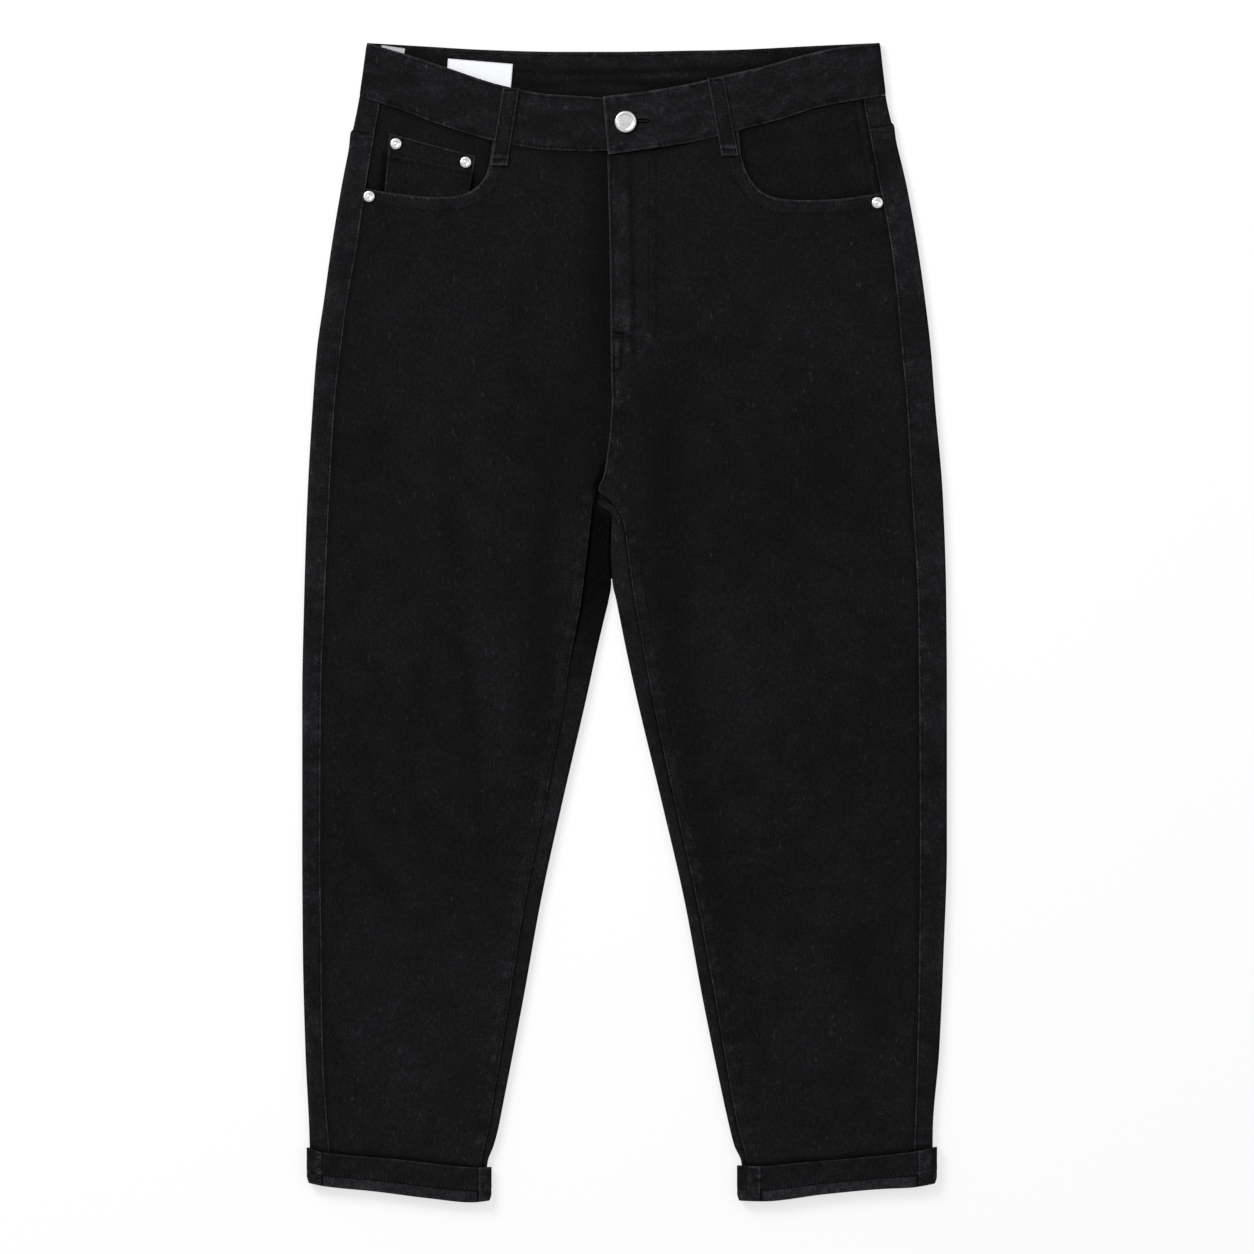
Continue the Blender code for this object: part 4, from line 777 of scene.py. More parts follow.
def front_details(leg, x, y):
    """Height and tone that the sewing, the edges and the fly add to a front panel, with painted shade."""
    side = np.abs(x - leg.side_seam(y))
    inner = np.abs(x - leg.inner_seam(y))
    below_waist = leg.waist(x) - y
    mouth = nearest(leg.mouth, x, y)[0]
    height = np.zeros(np.shape(x))
    tone = cloth_tone(x, y)
    ropes = roped(x, y, 11)
    felled = fall(y, BELOW_CROTCH) * (1.0 - fall(inner, (0.0, 1.6))) * fall(inner, (8.0, 12.0))
    height += felled * (0.06 + 0.24 * ropes)
    tone += felled * (0.045 + 0.10 * ropes)
    legs_only = fall(y, (88.0, 100.0))
    for row in INNER_ROWS:
        height -= 0.14 * legs_only * bump(inner, row, GROOVE)
    rubbed_edge = 0.16 if leg is RIGHT else 0.27
    tone += rubbed_edge * legs_only * bump(inner, 0.0, 1.0) + 0.04 * fall(y, (-330.0, -60.0))
    height += 0.10 * bump(side, 3.0, 3.0) * roped(x, y, 21, 7.0)
    tone -= 0.09 * bump(side, 1.0, 2.2)
    hem = fall(mouth, (9.5, 12.5)) * (1.0 - fall(mouth, (0.5, 2.0)))
    hem_ropes = roped(x + y, x - y, 31, 5.0)
    height += hem * (0.10 + 0.10 * hem_ropes)
    tone += hem * (0.045 + 0.07 * hem_ropes)
    for row in MOUTH_ROWS:
        height -= 0.13 * bump(mouth, row, GROOVE)
    # the rubbed mouth edge, and painted shade just beyond the hem band
    tone += 0.34 * bump(mouth, 0.0, 1.0) - 0.05 * bump(mouth, HEM_BAND + 0.8, 1.2)
    # painted shade under the waistband's edge
    tone -= 0.13 * bump(below_waist, 0.0, 4.0)
    height += 0.08 * bump(below_waist, 4.0, 4.0) * noise(x / 6.0, y / 9.0, 41)
    if leg is RIGHT:
        # painted shade beside the fly's lap, and a painted shadow where the front dips into the fork
        above_fork = 1.0 - fall(y, (96.0, 112.0))
        tone -= 0.13 * above_fork * bump(inner, 0.0, 15.0)
        tone -= 0.80 * bump(inner, 0.0, 3.6) * bump(y, FORK_SHADOW_Y, 10.0)
        return height, tone
    fly_height, fly_tone = fly_details(x, y, inner)
    return height + fly_height, tone + fly_tone


def fly_details(x, y, inner):
    """Height and tone of the fly and the seam below it, on the left front."""
    height, tone = np.zeros(np.shape(x)), np.zeros(np.shape(x))
    fly = 1.0 - fall(y, (196.0, 214.0))
    crotch = (1.0 - fall(y, (100.0, 110.0))) * fall(y, (196.0, 210.0))
    zip_ridge = fall(inner, (FLY_BAND - 3.0, FLY_BAND)) * (1.0 - fall(inner, (1.5, 4.5)))
    waves = noise(x / 7.0, y / 9.5, 51)
    height += fly * zip_ridge * (0.28 + 0.24 * waves)
    height -= fly * (0.30 * bump(inner, FLY_BAND, 1.1) + 0.12 * bump(inner, 3.0, GROOVE))
    # painted shade in the groove beside the zip's ridge
    tone += fly * zip_ridge * (0.055 + 0.11 * waves) - fly * 0.16 * bump(inner, FLY_BAND + 0.6, 1.5)
    curve_row = nearest(resample(FLY_STITCH, spacing=4.0), x, y)[0]
    within = fly * fall(inner, (30.0, 36.0))
    height += 0.10 * within * noise(x / 9.0, y / 8.0, 52)
    tone += 0.018 * within + 0.09 * within * bump(curve_row, 3.0, 4.0) * noise(x / 4.0, y / 4.0, 53)
    height -= 0.14 * (y > 205.0) * bump(curve_row, 0.0, GROOVE)
    corner = bump(x, CORNER_PLACE[0], CORNER_SIZE[0]) * bump(y, CORNER_PLACE[1], CORNER_SIZE[1])
    crumple = noise(x / 4.5, y / 5.0, 54)
    tone += corner * (0.090 + 0.16 * crumple)
    height += corner * 0.26 * crumple
    felled_centre = crotch * fall(inner, (8.5, 11.5)) * (1.0 - fall(inner, (0.0, 1.4)))
    centre_ropes = roped(x, y, 61, 4.2)
    height += felled_centre * (0.08 + 0.24 * centre_ropes)
    tone += felled_centre * (0.060 + 0.12 * centre_ropes)
    for row in CENTRE_ROWS:
        height -= 0.13 * crotch * bump(inner, row, GROOVE)
    tone += 0.38 * (1.0 - fall(y, (92.0, 104.0))) * bump(inner, 0.0, 1.0)
    for amount, wide, line in FLY_CORNER:
        from_line = nearest(line, x, y)[0]
        tone += amount * bump(from_line, 0.0, wide)
        height += 0.5 * amount * bump(from_line, 0.0, wide)
    return height, tone


# %% [markdown]
# ## Front panels
# Each front runs from the side seam to centre front and the inner leg seam. It is one grid, laid
# row by row from the waist seam to the hem inside the cuff. The pocket mouth is cut by leaving out
# the cells beyond it and moving the cells' last points onto the mouth's line. The left front laps
# over the right one at the fly, where its second layer presses through.

# %% Front panels
FRONT_ROWS = 360
FRONT_MIDDLE = 62
FRONT_FLAT = {"right": ((0.205, 0.83), 0.148), "left": ((0.235, 0.83), 0.158)}
FLY_LAYER = 0.5          # the doubled cloth behind the fly lifts the left front by this much


def front_height(leg, x, y):
    """Height of a front panel's middle with its laps at the pocket mouth and the fly."""
    height = front_mid(leg, x, y) + LAP * fall(nearest(leg.mouth, x, y)[0], (22.0, 44.0))
    from_centre = x - LEFT.inner_seam(y)
    lap = LAP * (1.0 - fall(y, (150.0, 190.0)))
    if leg is LEFT:
        height += lap * fall(from_centre, (12.0, 24.0))
        return height + FLY_LAYER * fall(from_centre, (31.0, 39.0)) * (1.0 - fall(y, (207.0, 219.0)))
    return height - lap * fall(-from_centre, (1.0, 8.0))


def make_front(leg):
    inner_y = np.linspace(leg.inner_top, LEG_END[1], FRONT_ROWS)
    share = leg.share(inner_y)
    side_y = leg.side_y(share)
    side_x = leg.side_seam(side_y) - leg.out * GAP / 2
    under = 6.0 * (1.0 - fall(inner_y, (175.0, 215.0))) * (leg is RIGHT)
    gap = mix(TIGHT, GAP / 2, fall(inner_y, (92.0, 104.0)))
    inner_x = leg.inner_seam(inner_y) + leg.out * gap + under
    width = np.abs(inner_x - side_x)
    f = steps_across(width, FRONT_MIDDLE) / width[:, None]
    x = mix(side_x[:, None], inner_x[:, None], f)
    top_x = mix(leg.side_seam(leg.side_top), leg.inner_seam(leg.inner_top) + under[:, None], f)
    curved = leg.waist(top_x) - WAIST_GAP - mix(leg.side_top, leg.inner_top, f)
    y = mix(side_y[:, None], inner_y[:, None], f) + curved * (1.0 - share[:, None]) ** 6
    mouth = [tuple(point) for point in leg.mouth]
    beyond = mouth[0][0] + leg.out * 20.0
    outline = [(beyond, mouth[0][1])] + mouth + [(mouth[-1][0], 440.0), (beyond, 440.0)]
    centre = [(a[:-1, :-1] + a[1:, :-1] + a[:-1, 1:] + a[1:, 1:]) / 4 for a in (x, y)]
    cells = ~inside(outline, *centre)
    kept, cut = np.zeros(x.shape, bool), np.zeros(x.shape, bool)
    for di in (0, 1):
        for dj in (0, 1):
            kept[di:di + cells.shape[0], dj:dj + cells.shape[1]] |= cells
            cut[di:di + cells.shape[0], dj:dj + cells.shape[1]] |= ~cells
    on_mouth = kept & cut
    _, near_x, near_y = nearest(leg.mouth, x, y)
    x, y = np.where(on_mouth, near_x, x), np.where(on_mouth, near_y, y)
    x[0] = np.where(on_mouth[0], mouth[-1][0], x[0])
    y[0] = np.where(on_mouth[0], leg.waist(mouth[-1][0]) - WAIST_GAP, y[0])
    y[:, 0] = np.where(on_mouth[:, 0], mouth[0][1], y[:, 0])
    x[:, 0] = np.where(on_mouth[:, 0], leg.side_seam(mouth[0][1]) - leg.out * GAP / 2, x[:, 0])
    added, tone = front_details(leg, x, y)
    tucked = fall(inner_y, TUCK)[:, None]
    z = mix(front_height(leg, x, y) + added, TUCKED_TOP, tucked)
    # painted shade just above the cuff, where the leg slips into it
    tone = tone - 0.40 * bump(y - leg.cuff_top(x), 0.0, 2.6)
    return cloth_shell("front_%s_denim" % leg.name, x, y, z, leg is LEFT, tone, present=cells)


fronts = {leg.name: make_front(leg) for leg in LEGS}
for leg in LEGS:
    dress(fronts[leg.name], DENIM, "denim", "front_" + leg.name, ["pocket_facing_" + leg.name],
          *FRONT_FLAT[leg.name])

# %% [markdown]
# ## Rows of a back piece
# A back panel is wider than the front, so it comes round both folds and meets the front on the
# front side. One row of its grid is a strip, a roll, the floor, a roll and a strip. The side seam
# is topstitched on the back's strip, which stands proud of the seam and is rubbed and puckered.

# %% Rows of a back piece
STRIP_STEPS = 9
ROLL_STEPS = 10
FLOOR_STEPS = 46
FLOOR_FIRST = STRIP_STEPS + ROLL_STEPS + 1   # the first and the last column on the floor
FLOOR_LAST = FLOOR_FIRST + FLOOR_STEPS - 1
TONGUE_TOP = {"right": 84.5, "left": 92.0}   # where the inner strip comes out below the fork
TONGUE_SKEW = {"right": (-0.5, 6.5), "left": (5.0, 0.0)}
YOKE_RISE = 3.1          # the yoke seam is this much higher at the fold than at the side seam
STEP_OUT = 1.4           # the back panel stands out this much from the yoke there
LAYER_LIFT = 1.3         # a back piece rises this much over a back pocket or a belt loop
YOKE_ROWS = (2.2, 8.8)


def held(value, count):
    """One value for each row, kept the same over a number of columns."""
    return np.repeat(value[:, None], count, axis=1)


def roll(fold_x, top_mid, floor_mid, half, way):
    """X and Z round a fold, from the top down, for each row."""
    angle = math.pi / 2 - math.pi * np.linspace(0.0, 1.0, ROLL_STEPS + 1)
    radius = ((top_mid - floor_mid) / 2)[:, None]
    centre_x = fold_x[:, None] - way * (radius + half)
    centre_z = ((top_mid + floor_mid) / 2)[:, None]
    return centre_x + way * radius * np.cos(angle), centre_z + radius * np.sin(angle)


def strip_shares():
    """Close together at the seam, which is where the strip is puckered."""
    return np.linspace(0.0, 1.0, STRIP_STEPS + 1)[:-1] ** 1.5


def strip_details(seam_distance, y, seed):
    """Height and tone of the strip beside a side seam: a stitched ridge, rubbed in bands."""
    ropes = roped(seam_distance, y, seed, 4.5)
    bands = noise(seam_distance / 30.0, y / 4.6, seed + 3) + 0.5 * noise(0.0, y / 19.0, seed + 4)
    near = fall(seam_distance, (5.0, 10.0))
    height = near * (0.06 + 0.22 * ropes) - 0.12 * bump(seam_distance, 2.0, GROOVE)
    height = height + 0.10 * (1.0 - near) * bands
    tone = 0.070 + near * 0.10 * ropes + 0.038 * bands + 0.30 * bump(seam_distance, 0.2, 0.8)
    return height, tone


def back_grid(leg, side_y, inner_y, top_mid, floor_mid, lift, whole):
    """Middle points of rows of a back piece; whole says which rows go on to the inner seam."""
    seam_x = leg.side_seam(side_y) + leg.out * GAP / 2
    seam = leg.side_y(leg.share(YOKE_SEAM))
    step_out = STEP_OUT * bump(side_y, seam, 9.0 if whole else 1.2)
    fold_x = leg.side_fold(side_y) + leg.out * step_out
    outer_x, outer_z = roll(fold_x, top_mid, floor_mid, CLOTH, leg.out)
    strip = strip_shares()
    strip_x = mix(seam_x[:, None], outer_x[:, :1], strip)
    rise = YOKE_RISE * bump(side_y, seam, 45.0)[:, None]
    strip_y = side_y[:, None] + rise * strip
    roll_y = held(side_y, ROLL_STEPS + 1) + rise
    fold_y, seam_y = inner_y.copy(), inner_y.copy()
    if whole:
        for target, skew in zip((fold_y, seam_y), TONGUE_SKEW[leg.name]):
            target += skew * fall(TONGUE_TOP[leg.name] - inner_y, (0.0, 26.0)) * (inner_y < 96.0)
    tucked = fall(inner_y, TUCK)
    inner_top = mix(leg.inner_mid(fold_y), TUCKED_TOP, tucked)
    inner_x, inner_z = roll(leg.inner_fold(fold_y), inner_top, floor_mid, CLOTH, -leg.out)
    inner_x, inner_z = inner_x[:, ::-1], inner_z[:, ::-1]
    above = 1.0 - fall(inner_y, (CROTCH_FORK, CROTCH_FORK + 3.0))
    floor_end = mix(inner_x[:, 0], CENTRE_BACK, above)
    t = np.linspace(0.0, 1.0, FLOOR_STEPS + 1)[1:]
    floor_x = mix(outer_x[:, -1:], floor_end[:, None], t)
    floor_y = mix(side_y[:, None], inner_y[:, None], t) + rise * fall(t, (0.0, 0.3))
    floor_z = floor_mid[:, None] + lift(t, inner_y[:, None])
    inner_seam = leg.inner_seam(seam_y) - leg.out * GAP / 2
    back = 1.0 - strip[::-1]
    end_x = mix(inner_x[:, -1:], inner_seam[:, None], back)
    end_y = mix(fold_y[:, None], seam_y[:, None], back)
    x = np.concatenate([strip_x, outer_x, floor_x, inner_x[:, 1:], end_x], axis=1)
    y = np.concatenate([strip_y, roll_y, floor_y, held(fold_y, ROLL_STEPS), end_y], axis=1)
    z = np.concatenate([held(top_mid, strip_x.shape[1]), outer_z, floor_z, inner_z[:, 1:],
                        held(inner_top, end_x.shape[1])], axis=1)
    return x, y, z


# %% [markdown]
# ## Back panels
# The panel is one grid from the yoke seam to the leg's end. Above the fork it has no inner leg, so
# those cells are left out down to a small tongue that shows beside the crotch. The strips are
# rubbed along the folds and carry painted shade where they slip under the cuffs, and the right
# leg's inner strip is painted dark with shade near the fork.

# %% Back panels
BACK_ROWS = 340
BACK_FLAT = ((0.27, 0.83), 0.19)
POCKET_BAND = ((262.0, 285.0), (100.0, 106.0))   # Y ranges where the panel rises onto its pocket


def make_back(leg):
    inner_y = np.linspace(YOKE_SEAM, LEG_END[1], BACK_ROWS)
    share = leg.share(inner_y)
    side_y = leg.side_y(share)
    side_y[0] -= TIGHT
    tucked = fall(inner_y, TUCK)
    top_mid = mix(EDGE_MID, TUCKED_TOP, tucked)
    floor_mid = mix(FLOOR_MID, TUCKED_FLOOR, tucked)

    def lift(t, row_y):
        across = (1.0 - fall(t, (0.09, 0.15))) * fall(t, (0.86, 0.92))
        down = fall(row_y, POCKET_BAND[0]) * (1.0 - fall(row_y, POCKET_BAND[1]))
        return LAYER_LIFT * across * down

    x, y, z = back_grid(leg, side_y, inner_y, top_mid, floor_mid, lift, True)
    side = np.abs(x - leg.side_seam(y))
    inner = np.abs(x - leg.inner_seam(y))
    column = np.arange(x.shape[1])[None, :]
    on_side = column < FLOOR_FIRST - ROLL_STEPS // 2
    on_inner = column > FLOOR_LAST + ROLL_STEPS // 2
    seed = 71 if leg is RIGHT else 81
    side_height, side_tone = strip_details(side, y, seed)
    below_yoke = side_y[0] - y
    for row in YOKE_ROWS:
        side_height = side_height - 0.12 * bump(below_yoke, row, GROOVE)
    side_tone = side_tone + 0.16 * bump(below_yoke, 0.3, 1.0) + 0.05 * bump(below_yoke, 7.0, 4.0)
    z = z + on_side * side_height
    tone = np.full(x.shape, 0.5) + 0.05 * noise(x / 30.0, y / 40.0, seed + 6)
    tone = tone + 0.03 * noise(x / 11.0, y / 14.0, seed + 7) + on_side * side_tone
    z = z + on_inner * (0.07 * noise(x / 9.0, y / 12.0, seed + 8))
    z = z - on_inner * 0.25 * bump(inner, 0.5, 1.2)
    inner_ropes = roped(inner, y, seed + 10, 5.0)
    tone = tone + on_inner * (0.07 - 0.14 * bump(inner, 0.6, 1.2) + 0.04 * inner_ropes)
    # painted shade just above the cuff
    tone = tone - 0.30 * bump(y - leg.cuff_top(x), 0.0, 3.0)
    if leg is RIGHT:
        # painted shade deep in the fork, on the right leg's inner strip
        tone = tone - on_inner * 0.46 * (1.0 - fall(y, (-70.0, 50.0)))
    rolled = (column >= STRIP_STEPS) & (column < FLOOR_FIRST)
    tone = tone + rolled * 0.045 * (1.0 + noise(0.0 * x, y / 13.0, seed + 9))
    inner_rolled = (column > FLOOR_LAST) & (column <= FLOOR_LAST + ROLL_STEPS)
    tone = tone + inner_rolled * 0.03 * fall(y, (-20.0, 40.0))
    above_fork = (inner_y[:-1] > CROTCH_FORK)[:, None]
    in_tongue = (inner_y[:-1] <= TONGUE_TOP[leg.name])[:, None]
    inner_leg = column[:, :-1] >= FLOOR_LAST
    tongue = in_tongue & (column[:, :-1] >= FLOOR_LAST + ROLL_STEPS // 2)
    cells = ~(above_fork & inner_leg & ~tongue)
    return cloth_shell("back_%s_denim" % leg.name, x, y, z, leg is RIGHT, tone, present=cells)


backs = {leg.name: make_back(leg) for leg in LEGS}

# %% [markdown]
# ## Yokes
# The yoke is the wedge above a back panel that gives the seat its shape. It is made of the same
# rows and stops at centre back. Its top edge follows the waistband: the front stretch of it up to
# the fold, and the back stretch from there on.

# %% Yokes
YOKE_LINES = 26
YOKE_FLAT = ((0.24, 0.07), 0.0099)
YOKE_FOLD_Y = 409.0      # Y where the side fold meets the waist
SEAM_SHADE = 0.04        # half width of the dark line at each of its seams, a share of its depth


def make_yoke(leg):
    t = np.linspace(0.0, 1.0, YOKE_LINES)
    top_side = WAIST_BACK(leg.side_fold(YOKE_FOLD_Y)) - TIGHT
    top_centre = WAIST_BACK(CENTRE_BACK) - TIGHT
    side_y = mix(top_side, leg.side_y(leg.share(YOKE_SEAM)) + TIGHT, t)
    inner_y = mix(top_centre, YOKE_SEAM + TIGHT, t)
    level = np.ones(len(t))

    def lift(across, _):
        under_band = curve(((0.0, 1.0), (0.5, 1.0), (0.75, 0.3), (1.0, 0.0)))(t)[:, None]
        return LAYER_LIFT * under_band * (1.0 - fall(across, (0.55, 0.68)))

    x, y, z = back_grid(leg, side_y, inner_y, EDGE_MID * level, FLOOR_MID * level, lift, False)
    column = np.arange(FLOOR_LAST + 1)[None, :]
    x, y, z = (rows[:, :FLOOR_LAST + 1] for rows in (x, y, z))
    round_fold = smooth((column - STRIP_STEPS) / ROLL_STEPS)
    limit = np.where(round_fold <= 0.5, leg.waist(x[0]), WAIST_BACK(x[0])) - TIGHT
    y = mix(limit, y[-1], t[:, None])
    beside_seam = np.clip(1.0 - column / STRIP_STEPS, 0.0, 1.0)
    x = x + beside_seam * (leg.side_seam(y) - leg.side_seam(side_y)[:, None])
    side = np.abs(x - leg.side_seam(y))
    on_side = column < STRIP_STEPS + ROLL_STEPS // 2
    height, tone = strip_details(side, y, 91 if leg is RIGHT else 96)
    z = z + on_side * height
    shade = 0.28 * bump(t, 0.0, SEAM_SHADE) + 0.24 * bump(t, 1.0, SEAM_SHADE)
    tone = 0.5 + on_side * tone * 0.8 - shade[:, None] + 0.04 * noise(x / 20.0, y / 14.0, 99)
    return cloth_shell("yoke_%s_denim" % leg.name, x, y, z, leg is RIGHT, tone)


yokes = {leg.name: make_yoke(leg) for leg in LEGS}
for leg in LEGS:
    dress(backs[leg.name], DENIM, "denim", "back_" + leg.name, ["floor"], *BACK_FLAT)
    dress(yokes[leg.name], DENIM, "denim", "yoke_" + leg.name, ["floor"], *YOKE_FLAT)

# %% [markdown]
# ## Waistband
# The band is one long doubled strip. It starts at the button end, laps over the other end at
# centre front, goes round both sides and lies behind as the inside of the back. Its top and bottom
# edges are stitched, and drag lines run along it, because the strip was cut straight and sewn to a
# curve.

# %% Rows of the waistband
BAND_THICKNESS = ((0.0, 0.7), (0.09, 1.0), (0.5, 0.92), (0.91, 1.0), (1.0, 0.7))
BAND_STEPS = np.concatenate([[0.0, 0.012, 0.03, 0.055], np.linspace(0.09, 0.91, 18),
                             [0.945, 0.97, 0.988, 1.0]])
BAND_DEPTH = 42.5
BAND_ROW = 2.6           # each row of stitches lies this far inside the band's edge
BAND_LAP = 2.7           # the button end lies this much higher than the end below it
HOLE = (9.0, 17.5, 390.8)           # buttonhole: X of its two ends, and Y


def back_band_lift(x):
    """The back of the band rises over the three back belt loops."""
    return LAYER_LIFT * fall(np.abs(x - CENTRE_BACK), (61.0, 85.0))


def band_rows(rows, top_x, mid, inset=0.0):
    top_y, bottom_y = band_edge(rows, 0, 1), band_edge(rows, 2, 3)
    bottom_x = band_edge(rows, 0, 2)(top_x)
    top_x, inset = top_x[:, None], np.broadcast_to(inset, top_x.shape)[:, None]
    x = mix(top_x, bottom_x[:, None], BAND_STEPS)
    y = mix(top_y(top_x) - inset, bottom_y(bottom_x)[:, None] + inset, BAND_STEPS)
    return np.stack([x, y, np.broadcast_to(mid[:, None], x.shape)], axis=2)


def band_fold(rows, end, way):
    """Points round a side fold; end is the table's row there and way points outwards."""
    top_x, top_y, bottom_x, bottom_y = rows[end]
    following = end + 1 if end == 0 else end - 1
    slopes = [(table[following][1] - table[end][1]) / (table[following][0] - table[end][0])
              for table in (rows, BAND_BACK)]
    level = np.ones(len(BAND_STEPS))
    fold_x = mix(top_x, bottom_x, BAND_STEPS)
    x, z = roll(fold_x, EDGE_MID * level, BAND * level, BAND, way)
    slope = np.where(np.arange(ROLL_STEPS + 1) <= ROLL_STEPS // 2, *slopes)
    y = mix(top_y, bottom_y, BAND_STEPS)[:, None] + slope * (x - fold_x[:, None])
    return np.stack([x, y, z], axis=2).transpose(1, 0, 2)


def evenly(start, end, step):
    return np.linspace(start, end, max(2, round(abs(end - start) / step) + 1))


# %% [markdown]
# ## The waistband's wear and painted shade
# Drag lines slant along the band, its two edges are rubbed and puckered between the stitches, and
# the cloth is pale round the buttonhole. Its inside shows too, behind the neck of the front: there
# the drag lines are long and soft, with painted shade in them and along the front band's top edge.

# %% Waistband


def make_waistband():
    side_right, side_left = BAND_RIGHT[0][0] + 9.0, BAND_LEFT[-1][0] - 9.0
    front_left = evenly(BAND_LEFT[0][0], side_left, 2.4)
    front_left = np.insert(front_left, 1, front_left[0] + np.array([0.5, 1.2]))
    back = evenly(side_left, side_right, 3.0)
    front_right = evenly(side_right, BAND_RIGHT[-1][0], 2.4)
    hidden = 0.6 * smooth((front_right + 30.0) / 10.0)
    parts = [
        band_rows(BAND_LEFT, front_left, EDGE_MID + BAND_LAP * fall(front_left, (24.0, 62.0))),
        band_fold(BAND_LEFT, -1, 1),
        band_rows(BAND_BACK, back, BAND + back_band_lift(back)),
        band_fold(BAND_RIGHT, 0, -1)[::-1],
        band_rows(BAND_RIGHT, front_right, np.full(len(front_right), EDGE_MID), hidden),
    ]
    which = np.concatenate([np.full(len(part), k) for k, part in enumerate(parts)])[:, None]
    middle = np.concatenate(parts)
    depth = BAND_STEPS * BAND_DEPTH
    from_top, from_bottom = depth[None, :], (BAND_DEPTH - depth)[None, :]
    run = np.cumsum(np.linalg.norm(np.diff(middle[:, 12], axis=0, prepend=middle[:1, 12]), axis=1))
    run = run[:, None]
    along = np.broadcast_to(run, middle.shape[:2])
    place_x, place_y = middle[..., 0], middle[..., 1]
    upper, behind, lower = (which == 0), (which == 2), (which == 4)
    drags = noise(along / 30.0, from_top / 5.0 + along / 42.0, 101)
    fine = noise(along / 8.0, from_top / 4.0, 102)
    puckers = noise(along / 3.6, from_top / 8.0, 103)
    edges = bump(from_top, 2.5, 3.0) + bump(from_bottom, 2.5, 3.0)
    height = 0.28 * drags + 0.09 * fine + 0.14 * puckers * edges
    rows = bump(from_top, BAND_ROW, GROOVE) + bump(from_bottom, BAND_ROW, GROOVE)
    height = height - 0.16 * rows
    tone = 0.535 + 0.085 * drags + 0.045 * fine + 0.13 * puckers * edges
    # painted light on the button end of the band, and a little on the end under it
    tone = tone + 0.050 * upper + 0.015 * lower
    tone = tone + 0.30 * bump(from_top, 0.0, 1.2) * (1.0 - 0.5 * behind)
    tone = tone + 0.20 * bump(from_bottom, 0.0, 1.0)
    tone = tone + 0.13 * upper * bump(place_x, 14.5, 4.5) * bump(place_y, HOLE[2], 3.2)
    # soft creases inside the back; the tone drawn from them is painted shade
    creases = (bump(from_top, 15.0 + 2.0 * noise(along / 60.0, 0.0, 105), 2.2)
               + 0.8 * bump(from_top, 24.0 + 3.0 * noise(along / 45.0, 3.0, 106), 2.6))
    strength = 0.75 + 0.25 * noise(along / 35.0, 9.0, 107)
    strength = (0.35 + 0.65 * bump(place_x, 20.0, 75.0)) * strength
    front_tops = [band_edge(table, 0, 1)(place_x) for table in (BAND_RIGHT, BAND_LEFT)]
    front_top = np.where(place_x < 1.0, *front_tops)
    inside_tone = 0.525 + 0.07 * drags + 0.03 * fine + 0.10 * puckers * bump(from_top, 3.0, 2.5)
    # painted shade in the creases, and along the front band's top edge
    inside_tone = inside_tone + 0.22 * bump(from_top, 0.0, 1.2) - 0.26 * creases * strength
    inside_tone = inside_tone - 0.18 * behind * bump(place_y - front_top, 0.0, 4.0)
    height = np.where(behind, 0.32 - 0.30 * np.minimum(creases, 1.0) * strength, height)
    # painted shade in the creases on the underside too, and darker towards its lower edge
    tone = tone - behind * (0.17 * creases * strength + 0.02 + 0.09 * bump(from_top, 34.0, 12.0))
    tone = tone + 0.36 * upper * bump(run, 0.0, 1.0)
    tone = tone + 0.05 * upper * bump(run, 4.0, 5.0) * puckers
    height = height - 0.14 * upper * bump(run, BAND_ROW, GROOVE)
    height = height - 0.10 * lower * fall(-place_x, (14.0, 30.0))
    fade = np.minimum(smooth(from_top / 3.0), smooth(from_bottom / 3.0))
    middle[..., 2] += height * mix(0.4, 1.0, fade)
    share = np.interp(BAND_STEPS, *zip(*BAND_THICKNESS))[None, :]
    return shell("waistband_denim", middle[::-1], BAND_SHELL, share=share, tone=tone[::-1],
                 under=inside_tone[::-1])


waistband = make_waistband()
dress(waistband, DENIM, "denim", "waistband", ["back_right", "back_left"], (0.86, 0.042))

# %% [markdown]
# ## Pocket facings and the coin pocket
# The cloth seen inside each scooped mouth is a facing, sewn to the pocket bag behind the front. Its
# grid is stretched between four edges: the waist seam, the side seam, and two stretches of a line
# that runs a little way behind the mouth. Painted shade darkens it under the mouth's edge and the
# waist seam. The right one has a shallow groove on each side of the coin pocket, which is sewn onto
# it, and a painted shadow lies in each groove. The left one has a pressed ridge beside its side
# seam, with painted light on the ridge and painted shade below it.

# %% Pocket facings
FACING_CELLS = 44
FACING_REACH = 12.0      # the facing reaches this far behind the mouth
FACING_TURN = 17         # the point of that line where the facing's corner is
MOUTH_POINTS = 26
FACING_FLAT = {"right": (0.115, 0.075), "left": (0.125, 0.080)}
COIN_CORNERS = ((-183.1, 381.2), (-115.9, 363.4), (-187.8, 326.5), (-123.6, 325.0))
COIN_DROP = 1.3          # room below the mouth's edge for the coin pocket


def facing_mid(leg, x, y):
    """Height of a facing's middle, one layer below the front."""
    height = front_mid(leg, x, y) - LAP
    if leg is RIGHT:
        across = (1.0 - fall(-x, (104.0, 116.0))) * fall(-x, (196.0, 208.0))
        height -= COIN_DROP * fall(y, (336.0, 354.0)) * across
    return height


def coin_groove_shadow(x, y):
    """1 along both sides of the coin pocket, on the facing below it: a shallow groove with painted
    shadow.
    """
    groove = np.zeros(np.shape(x))
    for top, low, aside in zip(COIN_CORNERS[:2], COIN_CORNERS[2:], (-2.2, 1.4)):
        beside = x - aside - mix(low[0], top[0], (y - low[1]) / (top[1] - low[1]))
        groove += bump(beside, 0.0, 2.0) * fall(y, (top[1] - 18.0, top[1] - 10.0))
    return groove


